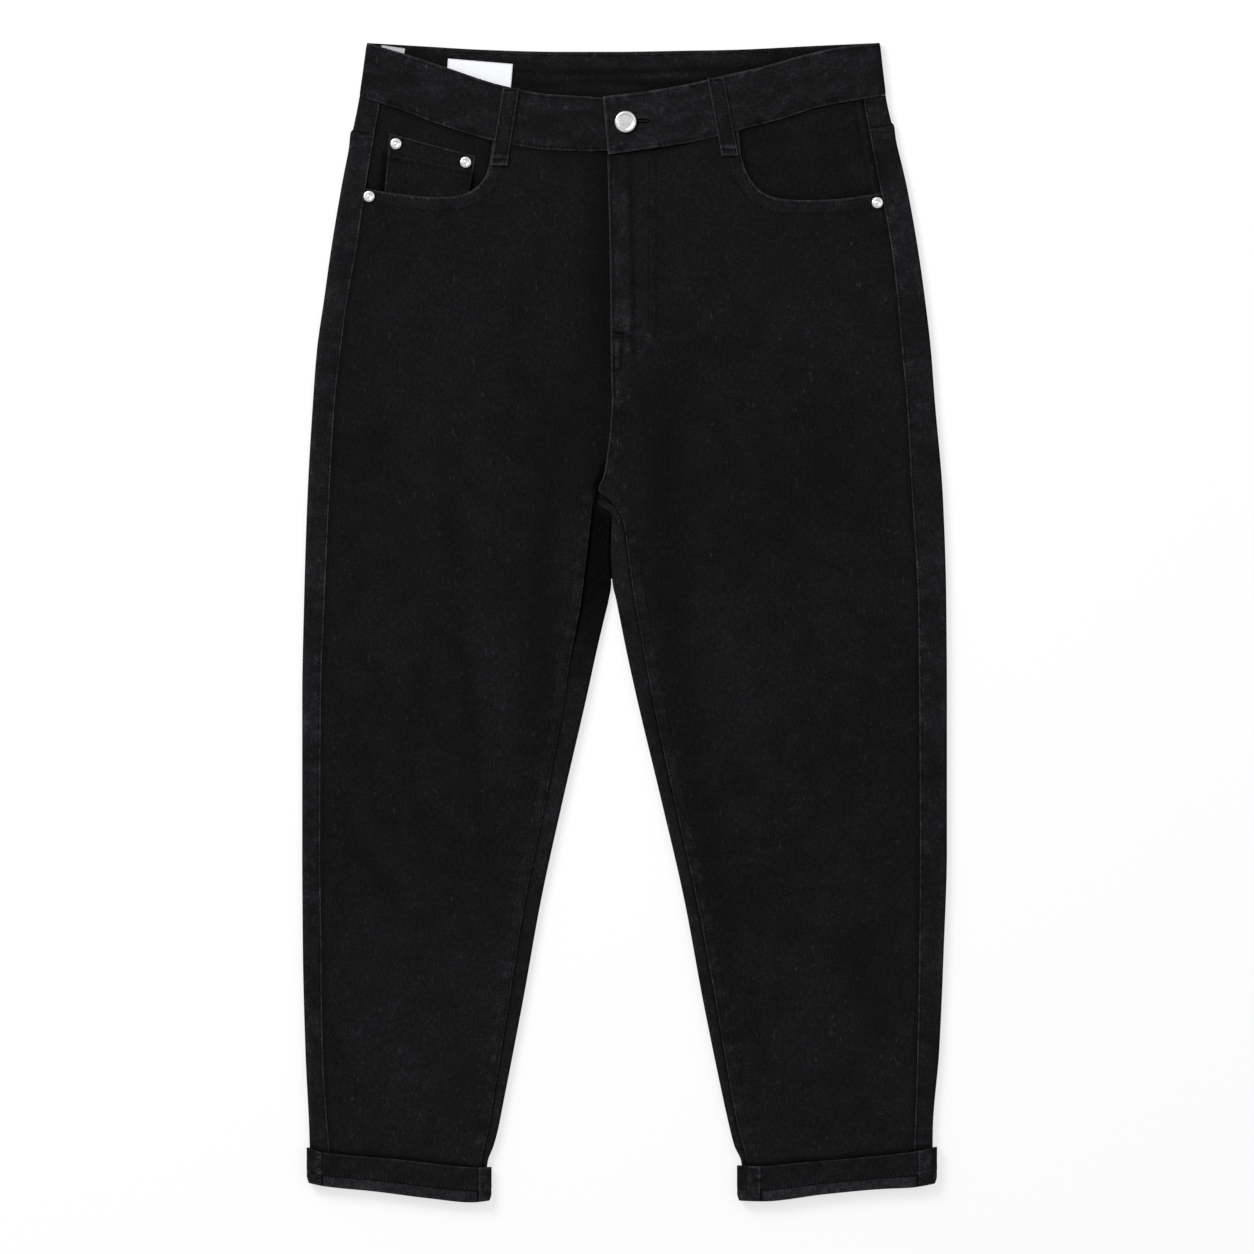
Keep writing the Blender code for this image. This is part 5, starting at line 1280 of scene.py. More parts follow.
def make_facing(leg):
    line = resample(leg.mouth_points, count=MOUTH_POINTS)
    run = np.diff(line, axis=0)
    reach = leg.out * FACING_REACH / np.hypot(*run.T)
    lower = (line[1:] + line[:-1]) / 2 + np.stack([-run[:, 1] * reach, run[:, 0] * reach], axis=1)
    lower = np.vstack([lower, [lower[-1, 0], leg.waist(lower[-1, 0]) - WAIST_GAP]])
    lower[0, 0] = leg.side_seam(lower[0, 1]) - leg.out * GAP / 2
    bottom = resample(lower[:FACING_TURN + 1], count=FACING_CELLS + 1)
    inner = resample(lower[FACING_TURN:], count=FACING_CELLS + 1)[::-1]
    share = np.linspace(0.0, 1.0, FACING_CELLS + 1)
    side_y = mix(leg.side_top, bottom[0, 1], share)
    side = np.stack([leg.side_seam(side_y) - leg.out * GAP / 2, side_y], axis=1)
    top_x = mix(side[0, 0], inner[0, 0], share)
    top = np.stack([top_x, leg.waist(top_x) - WAIST_GAP], axis=1)
    u, v = share[None, :, None], share[:, None, None]
    corners = mix(mix(top[0], inner[0], u), mix(bottom[0], inner[-1], u), v)
    stretched_over = mix(top[None], bottom[None], v) + mix(side[:, None], inner[:, None], u)
    x, y = np.moveaxis(stretched_over - corners, 2, 0)
    away = np.abs(x - leg.side_seam(y))
    mouth = nearest(leg.mouth, x, y)[0]
    z = facing_mid(leg, x, y) + 0.14 * fall(away, (4.2, 7.0)) + 0.09 * noise(x / 14.0, y / 9.0, 201)
    # painted shade under the mouth's edge
    tone = 0.475 + 0.030 * noise(x / 20.0, y / 14.0, 202) - 0.16 * bump(mouth, 0.0, 3.5)
    tone = tone - 0.22 * bump(away, 0.0, 1.6)
    if leg is LEFT:
        # a pressed ridge: painted light on its crest, painted shade below it
        tone = tone + 0.10 * bump(away, 5.2, 1.2) - 0.10 * bump(away, 7.4, 1.8)
    else:
        groove = coin_groove_shadow(x, y)
        # painted shadow beside the coin pocket, in a shallow groove
        tone = tone - 0.42 * groove
        z = z - 0.3 * groove
    # painted shade under the waist seam
    tone = tone - 0.16 * bump(leg.waist(x) - y, 0.0, 3.0)
    return cloth_shell("pocket_facing_%s_denim" % leg.name, x, y, z, leg is LEFT, tone)


facings = {leg.name: make_facing(leg) for leg in LEGS}

# %% [markdown]
# ## Coin pocket
# The coin pocket is a flat patch on the right facing. Its top edge is a doubled hem with two rows of
# stitches, and its lower edge slips behind the mouth.

# %% Coin pocket
COIN_SIZE = (67.0, 47.0)
COIN_HEM = (0.30, 0.34)  # the hem ends between these shares of its depth
COIN_HALF = 0.47         # half of the hem's thickness; below the hem it is three quarters of that
COIN_DOWN = np.concatenate([np.linspace(0.0, 0.29, 12), np.linspace(0.30, 0.34, 5),
                            np.linspace(0.37, 1.0, 18)])


def patch(corners, across, down):
    """Points of a four-cornered flat piece, from left to right and from top to bottom."""
    top_left, top_right, low_left, low_right = np.array(corners)
    u, v = across[None, :, None], down[:, None, None]
    return np.moveaxis(mix(mix(top_left, top_right, u), mix(low_left, low_right, u), v), 2, 0)


def make_coin_pocket():
    across = np.linspace(0.0, 1.0, 40)
    x, y = patch(COIN_CORNERS, across, COIN_DOWN)
    hem = fall(COIN_DOWN, COIN_HEM)[:, None]
    share = mix(0.75, 1.0, hem)
    side = np.minimum(across, 1.0 - across)[None, :] * COIN_SIZE[0]
    top = COIN_DOWN[:, None] * COIN_SIZE[1]
    edge = np.minimum(side, top)
    z = facing_mid(RIGHT, x, y) + 0.8 + share * 0.5 + 0.07 * noise(x / 8.0, y / 6.0, 211)
    z = z + 0.06 * hem * noise(x / 3.5, y / 3.0, 212) - 0.10 * bump(edge, 2.0, GROOVE)
    z = z - 0.12 * bump(top, 0.27 * COIN_SIZE[1], GROOVE)
    tone = 0.49 + 0.03 * noise(x / 12.0, y / 10.0, 213)
    tone = tone + hem * (0.035 + 0.05 * noise(x / 3.0, y / 3.0, 214))
    # rubbed edges, and painted shade just below the hem's step
    tone = tone + 0.28 * bump(edge, 0.0, 0.9) - 0.14 * bump(top, 0.36 * COIN_SIZE[1], 1.2)
    tone = tone + 0.08 * bump(top, 0.31 * COIN_SIZE[1], 0.8)
    return cloth_shell("coin_pocket_denim", x, y, z, False, tone, COIN_HALF, share=share)


coin_pocket = make_coin_pocket()
for leg in LEGS:
    dress(facings[leg.name], DENIM, "denim", "pocket_facing_" + leg.name, ["zip"],
          FACING_FLAT[leg.name])
dress(coin_pocket, DENIM, "denim", "coin_pocket", ["pocket_facing_right_denim"], (0.066, 0.047))

# %% [markdown]
# ## Back pockets
# The back pockets are underneath, flush with the surface that the jeans lie on. Each has straight
# sides that taper a little and a blunt point at the bottom.

# %% Back pockets
POCKET_SPAN = (0.175, 0.835)     # shares of the way from the side fold to centre back
POCKET_ENDS = (258.0, 128.0)     # inner Y of its top edge and of its lower corners
POCKET_TAPER, POCKET_TIP = 0.03, 16.0
POCKET_FLAT = ((0.145, 0.15), 0.0195)
UNDERSIDE_MID, UNDERSIDE_HALF = 0.54, 0.42   # middle and half thickness of what lies underneath


def back_pocket_point(leg, u, v):
    """A place on a back pocket, u from its outer to its inner side and v from top to bottom."""
    inner_y = mix(*POCKET_ENDS, v)
    side_y = leg.side_y(leg.share(inner_y))
    start = leg.side_fold(side_y) - leg.out * (EDGE_MID / 2 + CLOTH)
    t = mix(POCKET_SPAN[0] + POCKET_TAPER * v, POCKET_SPAN[1] - POCKET_TAPER * v, u)
    tip = POCKET_TIP * (1.0 - np.abs(2.0 * u - 1.0)) * smooth((v - 0.82) / 0.18)
    return mix(start, CENTRE_BACK, t), mix(side_y, inner_y, t) - tip


def make_back_pocket(leg):
    u, v = np.linspace(0.0, 1.0, 44)[None, :], np.linspace(0.0, 1.0, 44)[:, None]
    x, y = back_pocket_point(leg, u, v)
    tone = 0.5 + 0.04 * noise(x / 12.0, y / 12.0, 221) + 0.15 * bump(np.minimum(u, 1.0 - u), 0.0, 0.01)
    z = np.full(x.shape, UNDERSIDE_MID)
    return cloth_shell("back_pocket_%s_denim" % leg.name, x, y, z, leg is RIGHT, tone, UNDERSIDE_HALF,
                       rim=0.2)


back_pockets = {leg.name: make_back_pocket(leg) for leg in LEGS}
for leg in LEGS:
    dress(back_pockets[leg.name], DENIM, "denim", "back_pocket_" + leg.name, ["floor"], *POCKET_FLAT)

# %% [markdown]
# ## Belt loops
# A belt loop is a strip folded in three with two rows of stitching. The front ones are tacked at
# the band's top edge, cross the band and end in a doubled foot below it. The back ones lie flat
# under the band.

# %% Belt loops
LOOP_WIDTH, LOOP_THICK = 12.6, 1.8
LOOP_HALF = 0.86
LOOP_PROFILE = ((0.0, 0.75), (0.12, 0.75), (0.4, 0.72), (0.62, 0.72), (0.72, 0.75), (0.84, 0.75),
                (0.87, 1.0), (1.0, 0.95))
LOOP_CLEAR = 0.25        # a front loop lies this far above the band
LOOP_SMOOTHING = 9       # points over which its course is smoothed
FRONT_LOOPS = {
    "belt_loop_front_right": ((-88.4, 416.6), (-97.9, 356.3)),
    "belt_loop_front_left": ((71.0, 424.4), (82.2, 364.0)),
}
BACK_LOOPS = {
    "belt_loop_back_right": -62.0, "belt_loop_back_centre": -10.0, "belt_loop_back_left": 42.0,
}
BACK_LOOP_ENDS = (41.5, -12.5)   # above and below the band's lower edge


def surface_top(leg, x, y):
    """Top of what lies under a front belt loop: the waistband, or the panel below it."""
    band = np.where(y > leg.waist(x) - 3.0, EDGE_MID + BAND, 0.0)
    return np.maximum(band, front_height(leg, x, np.minimum(y, leg.waist(x))) + CLOTH)


def make_front_loop(name, ends):
    leg = RIGHT if ends[0][0] < 0.0 else LEFT
    t = np.linspace(0.0, 1.0, 64)
    s = np.linspace(-1.0, 1.0, 17)
    x = mix(ends[0][0], ends[1][0], t)[:, None] + s * LOOP_WIDTH / 2
    y = np.broadcast_to(mix(ends[0][1], ends[1][1], t)[:, None], x.shape)
    base = np.max([surface_top(leg, x, y + reach) for reach in (-5.0, 0.0, 5.0)], axis=(0, 2))
    even = np.full(LOOP_SMOOTHING, 1.0 / LOOP_SMOOTHING)
    base = np.convolve(np.pad(base, LOOP_SMOOTHING // 2, mode="edge"), even, mode="valid") + LOOP_CLEAR
    share = np.interp(t, *zip(*LOOP_PROFILE))[:, None]
    edge = np.abs(s)[None, :]
    fine = noise(x / 5.0, y / 6.0, 231)
    z = base[:, None] + share * LOOP_THICK / 2 + 0.10 * fine
    z = z - 0.10 * bump(edge, 0.64, 0.12) - 0.22 * edge**8 - 0.05 * (1.0 - edge**2)
    down = 0.07 * smooth((t - 0.85) / 0.03)
    for place, wide, amount in ((0.0, 0.06, 0.14), (0.845, 0.012, -0.12), (0.885, 0.014, 0.14),
                                (1.0, 0.02, 0.24)):
        down = down + amount * bump(t, place, wide)
    tone = 0.54 + 0.06 * fine + 0.40 * bump(edge, 1.0, 0.10) + down[:, None]
    return cloth_shell(name + "_denim", x, y, z, False, tone, LOOP_HALF, share=share)


def make_back_loop(name, centre):
    x = centre - np.linspace(-1.0, 1.0, 9)[None, :] * LOOP_WIDTH / 2
    y = WAIST_BACK(centre) + np.linspace(*BACK_LOOP_ENDS, 30)[:, None]
    x, y = np.broadcast_arrays(x, y)
    tone = 0.5 + 0.04 * noise(x / 5.0, y / 6.0, 241)
    z = np.full(x.shape, UNDERSIDE_MID)
    return cloth_shell(name + "_denim", x, y, z, False, tone, UNDERSIDE_HALF, under=0.5, rim=0.2)


loops = {name: make_front_loop(name, ends) for name, ends in FRONT_LOOPS.items()}
back_loops = {name: make_back_loop(name, x) for name, x in BACK_LOOPS.items()}
for name, piece in loops.items():
    dress(piece, DENIM, "denim", name, ["waistband_denim"], (0.0126, 0.063))
for name, piece in back_loops.items():
    dress(piece, DENIM, "denim", name, ["floor"], (0.0126, 0.054))

# %% [markdown]
# ## Turned-up cuffs
# Each cuff is the leg's end turned up once, so it is a flattened ring of doubled cloth. The leg's
# two felled seams make a raised tab at either side. The old hem shows as a lighter strip along the
# lower edge, under a groove, and the cuff's body twists a little, as turned cloth does. Painted
# shade darkens the groove, and a painted shadow lies where the strip meets each tab.

# %% Turned-up cuffs
CUFF_PROFILE = ((0.0, 1.0), (0.30, 0.94), (0.60, 1.0), (0.66, 0.84), (0.93, 0.9), (1.0, 0.55))
CUFF_SHARES = np.concatenate([[0.0, 0.012, 0.03], np.linspace(0.06, 0.6, 14),
                              [0.625, 0.64, 0.655, 0.67, 0.69], np.linspace(0.72, 0.93, 8),
                              [0.955, 0.975, 0.99, 1.0]])
CUFF_GROOVE = 0.655      # the old hem begins at this share of the cuff's depth
CUFF_STEPS = 140
CUFF_FLAT = {"right": (0.30, 0.029), "left": (0.32, 0.029)}


def make_cuff(name, cuff):
    top_line, bottom_line = curve(cuff["top"]), curve(cuff["bottom"])
    rounded = 1.2 * smooth((CUFF_SHARES - 0.8) / 0.2)
    left, right = cuff["folds"][0] + rounded, cuff["folds"][1] - rounded
    reach = (CUFF_TOP - BAND) / 2 + BAND
    level = np.ones(len(CUFF_SHARES))
    steps = np.linspace(0.0, 1.0, CUFF_STEPS + 1)
    front_x = mix((left + reach)[:, None], (right - reach)[:, None], steps[:-1])
    right_x, right_z = roll(right, CUFF_TOP * level, BAND * level, BAND, 1)
    left_x, left_z = roll(left, CUFF_TOP * level, BAND * level, BAND, -1)
    under_x = mix((right - reach)[:, None], (left + reach)[:, None], steps[1:-1])
    x = np.concatenate([front_x, right_x, under_x, left_x[:, ::-1][:, :-1]], axis=1)
    z = np.concatenate([np.full(front_x.shape, CUFF_TOP), right_z, np.full(under_x.shape, BAND),
                        left_z[:, ::-1][:, :-1]], axis=1)
    share = CUFF_SHARES[:, None]
    y = mix(top_line(x), bottom_line(x), share)
    on_top = smooth((z - BAND) / (CUFF_TOP - BAND) * 2.0 - 0.8)
    (_, tab_b), (tab_c, _) = cuff["tabs"]
    tabs, seams = 0.0, 0.0
    for start, end in cuff["tabs"]:
        tabs = tabs + (1.0 - fall(x, (start - 0.5, start + 0.5))) * fall(x, (end - 0.5, end + 0.5))
        seams = seams + bump(x, start, 0.9) + bump(x, end, 0.9)
    inner_seams = bump(x, tab_b, 1.1) + bump(x, tab_c, 1.1)
    strip = smooth((share - CUFF_GROOVE - 0.01) / 0.04)
    twist = noise(x / 9.0 + share * 2.4, share * 1.6 + x / 40.0, 301)
    fine = noise(x / 4.0, y / 4.0, 302)
    height = 0.16 * twist * (1.0 - strip) + 0.05 * fine
    height = height + tabs * (0.32 + 0.10 * noise(x / 3.5, y / 3.0, 303))
    height = height - 0.38 * bump(share, CUFF_GROOVE, 0.022) * (1.0 - tabs) - 0.30 * seams
    height = height - 0.55 * strip * inner_seams
    tone = 0.535 + 0.04 * twist + 0.03 * fine + 0.19 * strip * (1.0 - tabs) + tabs * 0.09
    tone = tone + tabs * 0.14 * noise(x / 3.0, y / 2.6, 304) + 0.26 * bump(share, 0.0, 0.025)
    # painted shadow where the old hem's strip meets each tab
    tone = tone + 0.16 * bump(share, CUFF_GROOVE - 0.045, 0.02) - 0.45 * strip * inner_seams
    # painted shade in the groove above the old hem
    tone = tone - 0.22 * bump(share, CUFF_GROOVE + 0.01, 0.02) * (1.0 - tabs) - 0.12 * seams
    tone = tone + 0.22 * (bump(x, tab_b - 1.6, 0.8) + bump(x, tab_c + 1.6, 0.8))
    tone = tone + 0.08 * bump(share, 1.0, 0.05)
    z = z + height * on_top * 0.8 - 0.25 * np.minimum(height, 0.0) * (1.0 - on_top)
    thickness = np.interp(CUFF_SHARES, *zip(*CUFF_PROFILE))[:, None]
    return shell("cuff_%s_denim" % name, np.stack([x, y, z], axis=2), BAND_SHELL, share=thickness,
                 tone=tone, ring=True)


cuffs = {name: make_cuff(name, cuff) for name, cuff in CUFFS.items()}
for name, piece in cuffs.items():
    dress(piece, DENIM, "denim", "cuff_" + name, ["floor"], CUFF_FLAT[name])

# %% [markdown]
# ## Label and side tab
# Both are sewn flat inside the back of the waistband, each with a fine grey line of painted shadow
# along its edges. The white label is a plain satin weave, and it stays bare.

# %% Label and side tab
LABEL = ((-137.7, 439.8), (-87.0, 435.5), (-140.0, 410.0), (-89.5, 405.5))
SIDE_TAB = ((-189.5, 450.2), (-171.0, 447.6), (-191.5, 437.0), (-173.0, 434.4))
LABEL_THICK = 0.8
LABEL_FLAT, TAB_FLAT = (51.0, 30.0), (18.7, 13.4)
# painted shadow along the edges of the label and the tab
EDGE_SHADOW_FADE = (0.2, 0.7)    # the darker edge fades out between these distances
THREAD_SCALE = 1500.0 / (2.0 * math.pi)      # gives about 760 threads to a metre of tape


def woven(name, colour, edge_colour):
    """Fine woven tape, darker where the tone attribute is low; on the label and the tab that is painted
    edge shadow.
    """
    made, tree, shader = new_material(name, colour, 0.75, specular=0.2)
    place = tree.nodes.new("ShaderNodeTexCoord").outputs["Object"]
    threads = pattern(tree, "Wave", place, THREAD_SCALE, bands_direction="Y", Distortion=0.6)
    ramp = tree.nodes.new("ShaderNodeValToRGB")
    ramp.color_ramp.elements[0].color = (*edge_colour, 1.0)
    ramp.color_ramp.elements[1].color = (*colour, 1.0)
    tree.links.new(math_node(tree, "MULTIPLY_ADD", threads, 0.06, read_tone(tree)), ramp.inputs[0])
    tree.links.new(ramp.outputs[0], shader.inputs["Base Color"])
    add_relief(tree, shader, threads, 0.00006, 0.5)
    return made


def make_woven_piece(name, corners, size, material, slot, node):
    across, down = np.linspace(0.0, 1.0, 40), np.linspace(0.0, 1.0, 26)
    x, y = patch(corners, across, down)
    edge = np.minimum(np.minimum(across, 1.0 - across)[None, :] * size[0],
                      np.minimum(down, 1.0 - down)[:, None] * size[1])
    z = 2 * BAND + back_band_lift(x) + GAP + LABEL_THICK / 2 + 0.05 * noise(x / 9.0, y / 7.0, 311)
    # painted shadow along the piece's edges
    tone = 1.0 - 0.55 * fall(edge, EDGE_SHADOW_FADE)
    half = LABEL_THICK / 2 - 0.1
    piece = shell(name, np.stack([x, y, z], axis=2), half, tone=tone, under=1.0, rim=0.15)
    dress(piece, material, slot, node, ["waistband_denim"], (size[0] * MM, size[1] * MM))


white_weave = woven("white_woven_label", (0.80, 0.80, 0.82), (0.12, 0.12, 0.13))
pale_weave = woven("pale_woven_tab", (0.44, 0.44, 0.45), (0.10, 0.10, 0.11))
make_woven_piece("waist_label_weave", LABEL, LABEL_FLAT, white_weave, "label", "waist_label")
make_woven_piece("side_tab_weave", SIDE_TAB, TAB_FLAT, pale_weave, "tab", "side_tab")

# %% [markdown]
# ## Scattering small parts
# Sewing is one short thread end repeated thousands of times, and a zip is one tooth repeated. A
# template is modelled once from a primitive. A helper then joins as many copies as a row needs,
# each turned along its line and laid on the cloth that a ray finds below or above it.

# %% Scattering small parts


def template_from(size, **primitive):
    """Points and faces of a rounded bead, its long axis along X, sized in millimetres."""
    select_nothing()
    bpy.ops.mesh.primitive_uv_sphere_add(radius=1.0, location=(0.0, 0.0, 0.0), **primitive)
    bead = bpy.context.active_object
    bpy.ops.object.mode_set(mode="EDIT")
    bpy.ops.mesh.select_all(action="SELECT")
    bpy.ops.transform.rotate(value=math.pi / 2, orient_axis="Y", center_override=(0.0, 0.0, 0.0))
    bpy.ops.transform.resize(value=size, center_override=(0.0, 0.0, 0.0))
    bpy.ops.object.mode_set(mode="OBJECT")
    points = np.array([vertex.co[:] for vertex in bead.data.vertices])
    faces = [tuple(polygon.vertices) for polygon in bead.data.polygons]
    bpy.data.objects.remove(bead, do_unlink=True)
    return points, faces


def join_copies(name, template, spots, along, up, material):
    """One object made of a template's copies at many places."""
    points, faces = template
    spots, along, up = (np.array(rows) for rows in (spots, along, up))
    along = along - up * np.sum(along * up, axis=1, keepdims=True)
    along /= np.linalg.norm(along, axis=1, keepdims=True)
    side = np.cross(up, along)
    placed = spots[:, None] + points[None, :, :1] * along[:, None]
    placed = placed + points[None, :, 1:2] * side[:, None] + points[None, :, 2:] * up[:, None]
    placed = placed * MM
    count = len(points)
    every = [tuple(index + start for index in face)
             for start in range(0, count * len(spots), count) for face in faces]
    mesh = bpy.data.meshes.new(name)
    mesh.from_pydata(placed.reshape(-1, 3).tolist(), [], every)
    mesh.shade_smooth()
    joined = bpy.data.objects.new(name, mesh)
    bpy.context.scene.collection.objects.link(joined)
    joined.data.materials.append(material)
    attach(joined, "root")
    print(name, len(spots), "copies")


bpy.context.view_layer.update()
TREES = {}
RAY_START = 0.05         # metres above or below the jeans


def cast(piece, x, y, from_below=False):
    """Point and normal of a piece's surface straight below or above a place, in millimetres."""
    if piece.name not in TREES:
        TREES[piece.name] = BVHTree.FromObject(piece, bpy.context.evaluated_depsgraph_get())
    way = 1.0 if from_below else -1.0
    start = Vector((x * MM, y * MM, -way * RAY_START))
    place, normal, _, _ = TREES[piece.name].ray_cast(start, Vector((0.0, 0.0, way)))
    if place is None:
        return None, None
    return np.array(place) / MM, np.array(normal)


# %% [markdown]
# ## Sewing
# Each row is a line at a real distance from an edge. Black jeans are sewn with black thread, so
# the stitches read as small dark dashes in a shallow groove. Rows on the underside are there too.

# %% Stitches
thread = new_material("black_thread", (0.0009, 0.0009, 0.0010), 0.8, specular=0.02)[0]
STITCH = template_from((1.00, 0.40, 0.22), segments=6, ring_count=4)
STITCH_PITCH = 3.1
BAND_PITCH = 2.9
SMALL_PITCH = 2.7
TACK_PITCH = 0.8
STEEPEST = 0.3           # no stitch is laid where the cloth's normal has less height than this
SINK = 0.07              # how far a stitch's middle lies below the cloth's surface
SPREAD = 4.0             # step along a curve before it is measured out into stitches


def offset(line, distance):
    """A line moved to its own left by a distance."""
    line = np.asarray(line, float)
    run = np.gradient(line, axis=0)
    run /= np.hypot(*run.T)[:, None]
    return line + distance * np.stack([-run[:, 1], run[:, 0]], axis=1)


class Sewing:
    """Collects the stitches of one area, then joins them."""

    def __init__(self, name):
        self.name = name
        self.spots, self.along, self.up = [], [], []

    def add(self, piece, x, y, direction, from_below=False):
        place, normal = cast(piece, x, y, from_below)
        if place is None or abs(normal[2]) < STEEPEST:
            return
        self.spots.append(place - normal * SINK)
        self.along.append((*direction, 0.0))
        self.up.append(normal)

    def row(self, piece, line, pitch=STITCH_PITCH, from_below=False):
        line = resample(line, spacing=pitch)
        for start, end in zip(line, line[1:]):
            self.add(piece, *((start + end) / 2), (end - start) / pitch, from_below)

    def tack(self, piece, start, end):
        """A bar tack: stitches side by side across a short line."""
        line = resample((start, end), spacing=TACK_PITCH)
        run = (line[-1] - line[0]) / np.hypot(*(line[-1] - line[0]))
        for spot in line:
            self.add(piece, *spot, (-run[1], run[0]))

    def finish(self):
        join_copies(self.name, STITCH, self.spots, self.along, self.up, thread)


def down_line(x_of, y_start, y_end):
    y = evenly(y_start, y_end, SPREAD)
    return np.stack([x_of(y), y], axis=1)


def band_line(rows, x_start, x_end, depth):
    """A line along the waistband at a share of its depth."""
    top_x = evenly(x_start, x_end, SPREAD)
    top_y, bottom_y = band_edge(rows, 0, 1), band_edge(rows, 2, 3)
    bottom_x = band_edge(rows, 0, 2)(top_x)
    line_x = mix(top_x, bottom_x, depth)
    return np.stack([line_x, mix(top_y(top_x), bottom_y(bottom_x), depth)], axis=1)


# %% [markdown]
# ## Rows on the legs
# On each leg the mouth and the inner seam have two rows, the side seam has one on the back's
# strip, and the yoke seam, the centre back seam and the back pocket have two. The left front also
# has the fly's curve and two bar tacks.

# %% Rows on the legs
SIDE_ROW = 2.0           # the row beside the side seam, on the back's strip
FLY_TACKS = (((-9.5, 226.5), (-0.5, 225.5)), ((-8.5, 207.5), (-8.0, 199.0)))
POCKET_INSETS = (0.016, 0.055)      # shares of the back pocket's width
POCKET_HEM_ROWS = (0.03, 0.12)      # shares of its depth


def along_seam(seam, distance, y_start, y_end):
    """A line that keeps a distance from a seam, to the side that its sign says."""
    return down_line(lambda y: seam(y) + distance, y_start, y_end)


def sew_front(leg):
    sewing = Sewing("stitches_front_" + leg.name)
    panel = fronts[leg.name]
    for inset in MOUTH_ROWS:
        sewing.row(panel, offset(leg.mouth, leg.out * inset))
    for inset in INNER_ROWS:
        sewing.row(panel, along_seam(leg.inner_seam, leg.out * inset, 96.0, -416.0))
    if leg is LEFT:
        for inset in CENTRE_ROWS:
            sewing.row(panel, along_seam(leg.inner_seam, inset, 203.0, 108.0))
        sewing.row(panel, along_seam(leg.inner_seam, 2.8, 361.0, 208.0))
        sewing.row(panel, FLY_STITCH)
        sewing.row(panel, offset(FLY_STITCH[:-2], -6.0))
        for ends in FLY_TACKS:
            sewing.tack(panel, *ends)
    sewing.finish()


def sew_back(leg):
    sewing = Sewing("stitches_back_" + leg.name)
    panel = backs[leg.name]
    yoke_y = float(leg.side_y(leg.share(YOKE_SEAM)))
    waist_y = float(leg.waist(leg.side_seam(WAIST_SIDE_Y)))
    aside = leg.out * SIDE_ROW
    sewing.row(panel, along_seam(leg.side_seam, aside, yoke_y - 2.0, -412.0))
    sewing.row(yokes[leg.name], along_seam(leg.side_seam, aside, waist_y - 2.0, yoke_y + 1.0))
    for inset in YOKE_ROWS:
        y = yoke_y - inset
        ends = (leg.side_seam(y) + leg.out * 2.5, leg.side_fold(y) - leg.out * 1.5)
        sewing.row(panel, [(ends[0], y), (ends[1], y)])
        across = ((float(leg.side_fold(y)) - leg.out * 3.5, y), (CENTRE_BACK, YOKE_SEAM - inset))
        sewing.row(panel, across, from_below=True)
    if leg is LEFT:
        for inset in YOKE_ROWS:
            line = down_line(lambda y: 0.0 * y + CENTRE_BACK + inset, 330.0, 36.0)
            sewing.row(panel, line, from_below=True)
    sewing.finish()


def sew_back_pocket(leg):
    sewing = Sewing("stitches_back_pocket_" + leg.name)
    pocket = back_pockets[leg.name]

    def line_through(*shares):
        return [tuple(map(float, back_pocket_point(leg, *share))) for share in shares]

    for inset in POCKET_INSETS:
        u, v = 1.0 - inset, 1.0 - 0.9 * inset
        line = line_through((inset, 0.01), (inset, 0.5), (inset, v - 0.04), (0.5, v - 0.02),
                            (u, v - 0.04), (u, 0.5), (u, 0.01))
        for start, end in ((0, 3), (2, 4), (3, 5), (4, 7)):
            sewing.row(pocket, line[start:end], from_below=True)
    for v in POCKET_HEM_ROWS:
        sewing.row(pocket, line_through((0.02, v), (0.5, v), (0.98, v)), from_below=True)
    sewing.finish()


for leg in LEGS:
    sew_front(leg)
    sew_back(leg)
    sew_back_pocket(leg)

# %% [markdown]
# ## Rows on the waistband and the coin pocket
# The band has a row just inside each edge, all the way round, and one down its button end. The coin
# pocket has two rows across its hem and one down each side.

# %% Rows on the waistband and the coin pocket
TOP_ROW = BAND_ROW / BAND_DEPTH
BOTTOM_ROW = 1.0 - TOP_ROW
INSIDE_ROW = 3.2 / BAND_DEPTH       # the same row, seen on the inside of the back
COIN_ROWS = (            # share across and down where each row starts, and where it ends
    ((0.03, 0.045), (0.97, 0.045)), ((0.03, 0.27), (0.97, 0.27)),
    ((0.03, 0.06), (0.03, 0.84)), ((0.97, 0.06), (0.97, 0.84)),
)

sewing = Sewing("stitches_waistband")
for depth in (TOP_ROW, BOTTOM_ROW):
    sewing.row(waistband, band_line(BAND_LEFT, -13.5, 196.0, depth), pitch=BAND_PITCH)
    sewing.row(waistband, band_line(BAND_RIGHT, -198.0, -18.0, depth), pitch=BAND_PITCH)
    under_row = band_line(BAND_BACK, -196.0, 194.0, depth)
    sewing.row(waistband, under_row, pitch=BAND_PITCH, from_below=True)
sewing.row(waistband, band_line(BAND_BACK, -165.0, 150.0, INSIDE_ROW), pitch=BAND_PITCH)
end_row = [band_line(BAND_LEFT, -13.9, -13.0, depth)[0] for depth in (TOP_ROW, BOTTOM_ROW)]
sewing.row(waistband, end_row, pitch=BAND_PITCH)
sewing.finish()

sewing = Sewing("stitches_coin_pocket")
for (u_start, v_start), (u_end, v_end) in COIN_ROWS:
    x, y = patch(COIN_CORNERS, np.array([u_start, u_end]), np.array([v_start, v_end]))
    sewing.row(coin_pocket, ((x[0, 0], y[0, 0]), (x[1, 1], y[1, 1])), pitch=SMALL_PITCH)
sewing.finish()

# %% [markdown]
# ## Rows on the belt loops and the cuffs
# A belt loop has a row along each side, and a front one has a bar tack at its top and in its foot.
# A cuff shows the old hem's row, above the groove, and a row beside each felled seam, outside and
# underneath.

# %% Rows on the belt loops and the cuffs
LOOP_INSET = 2.1
LOOP_TACKS = (0.03, 0.93)           # shares of the loop's length
LOOP_TACK_HALF = 5.0
CUFF_TAB_ROW = 2.2                  # how far inside a tab its row lies

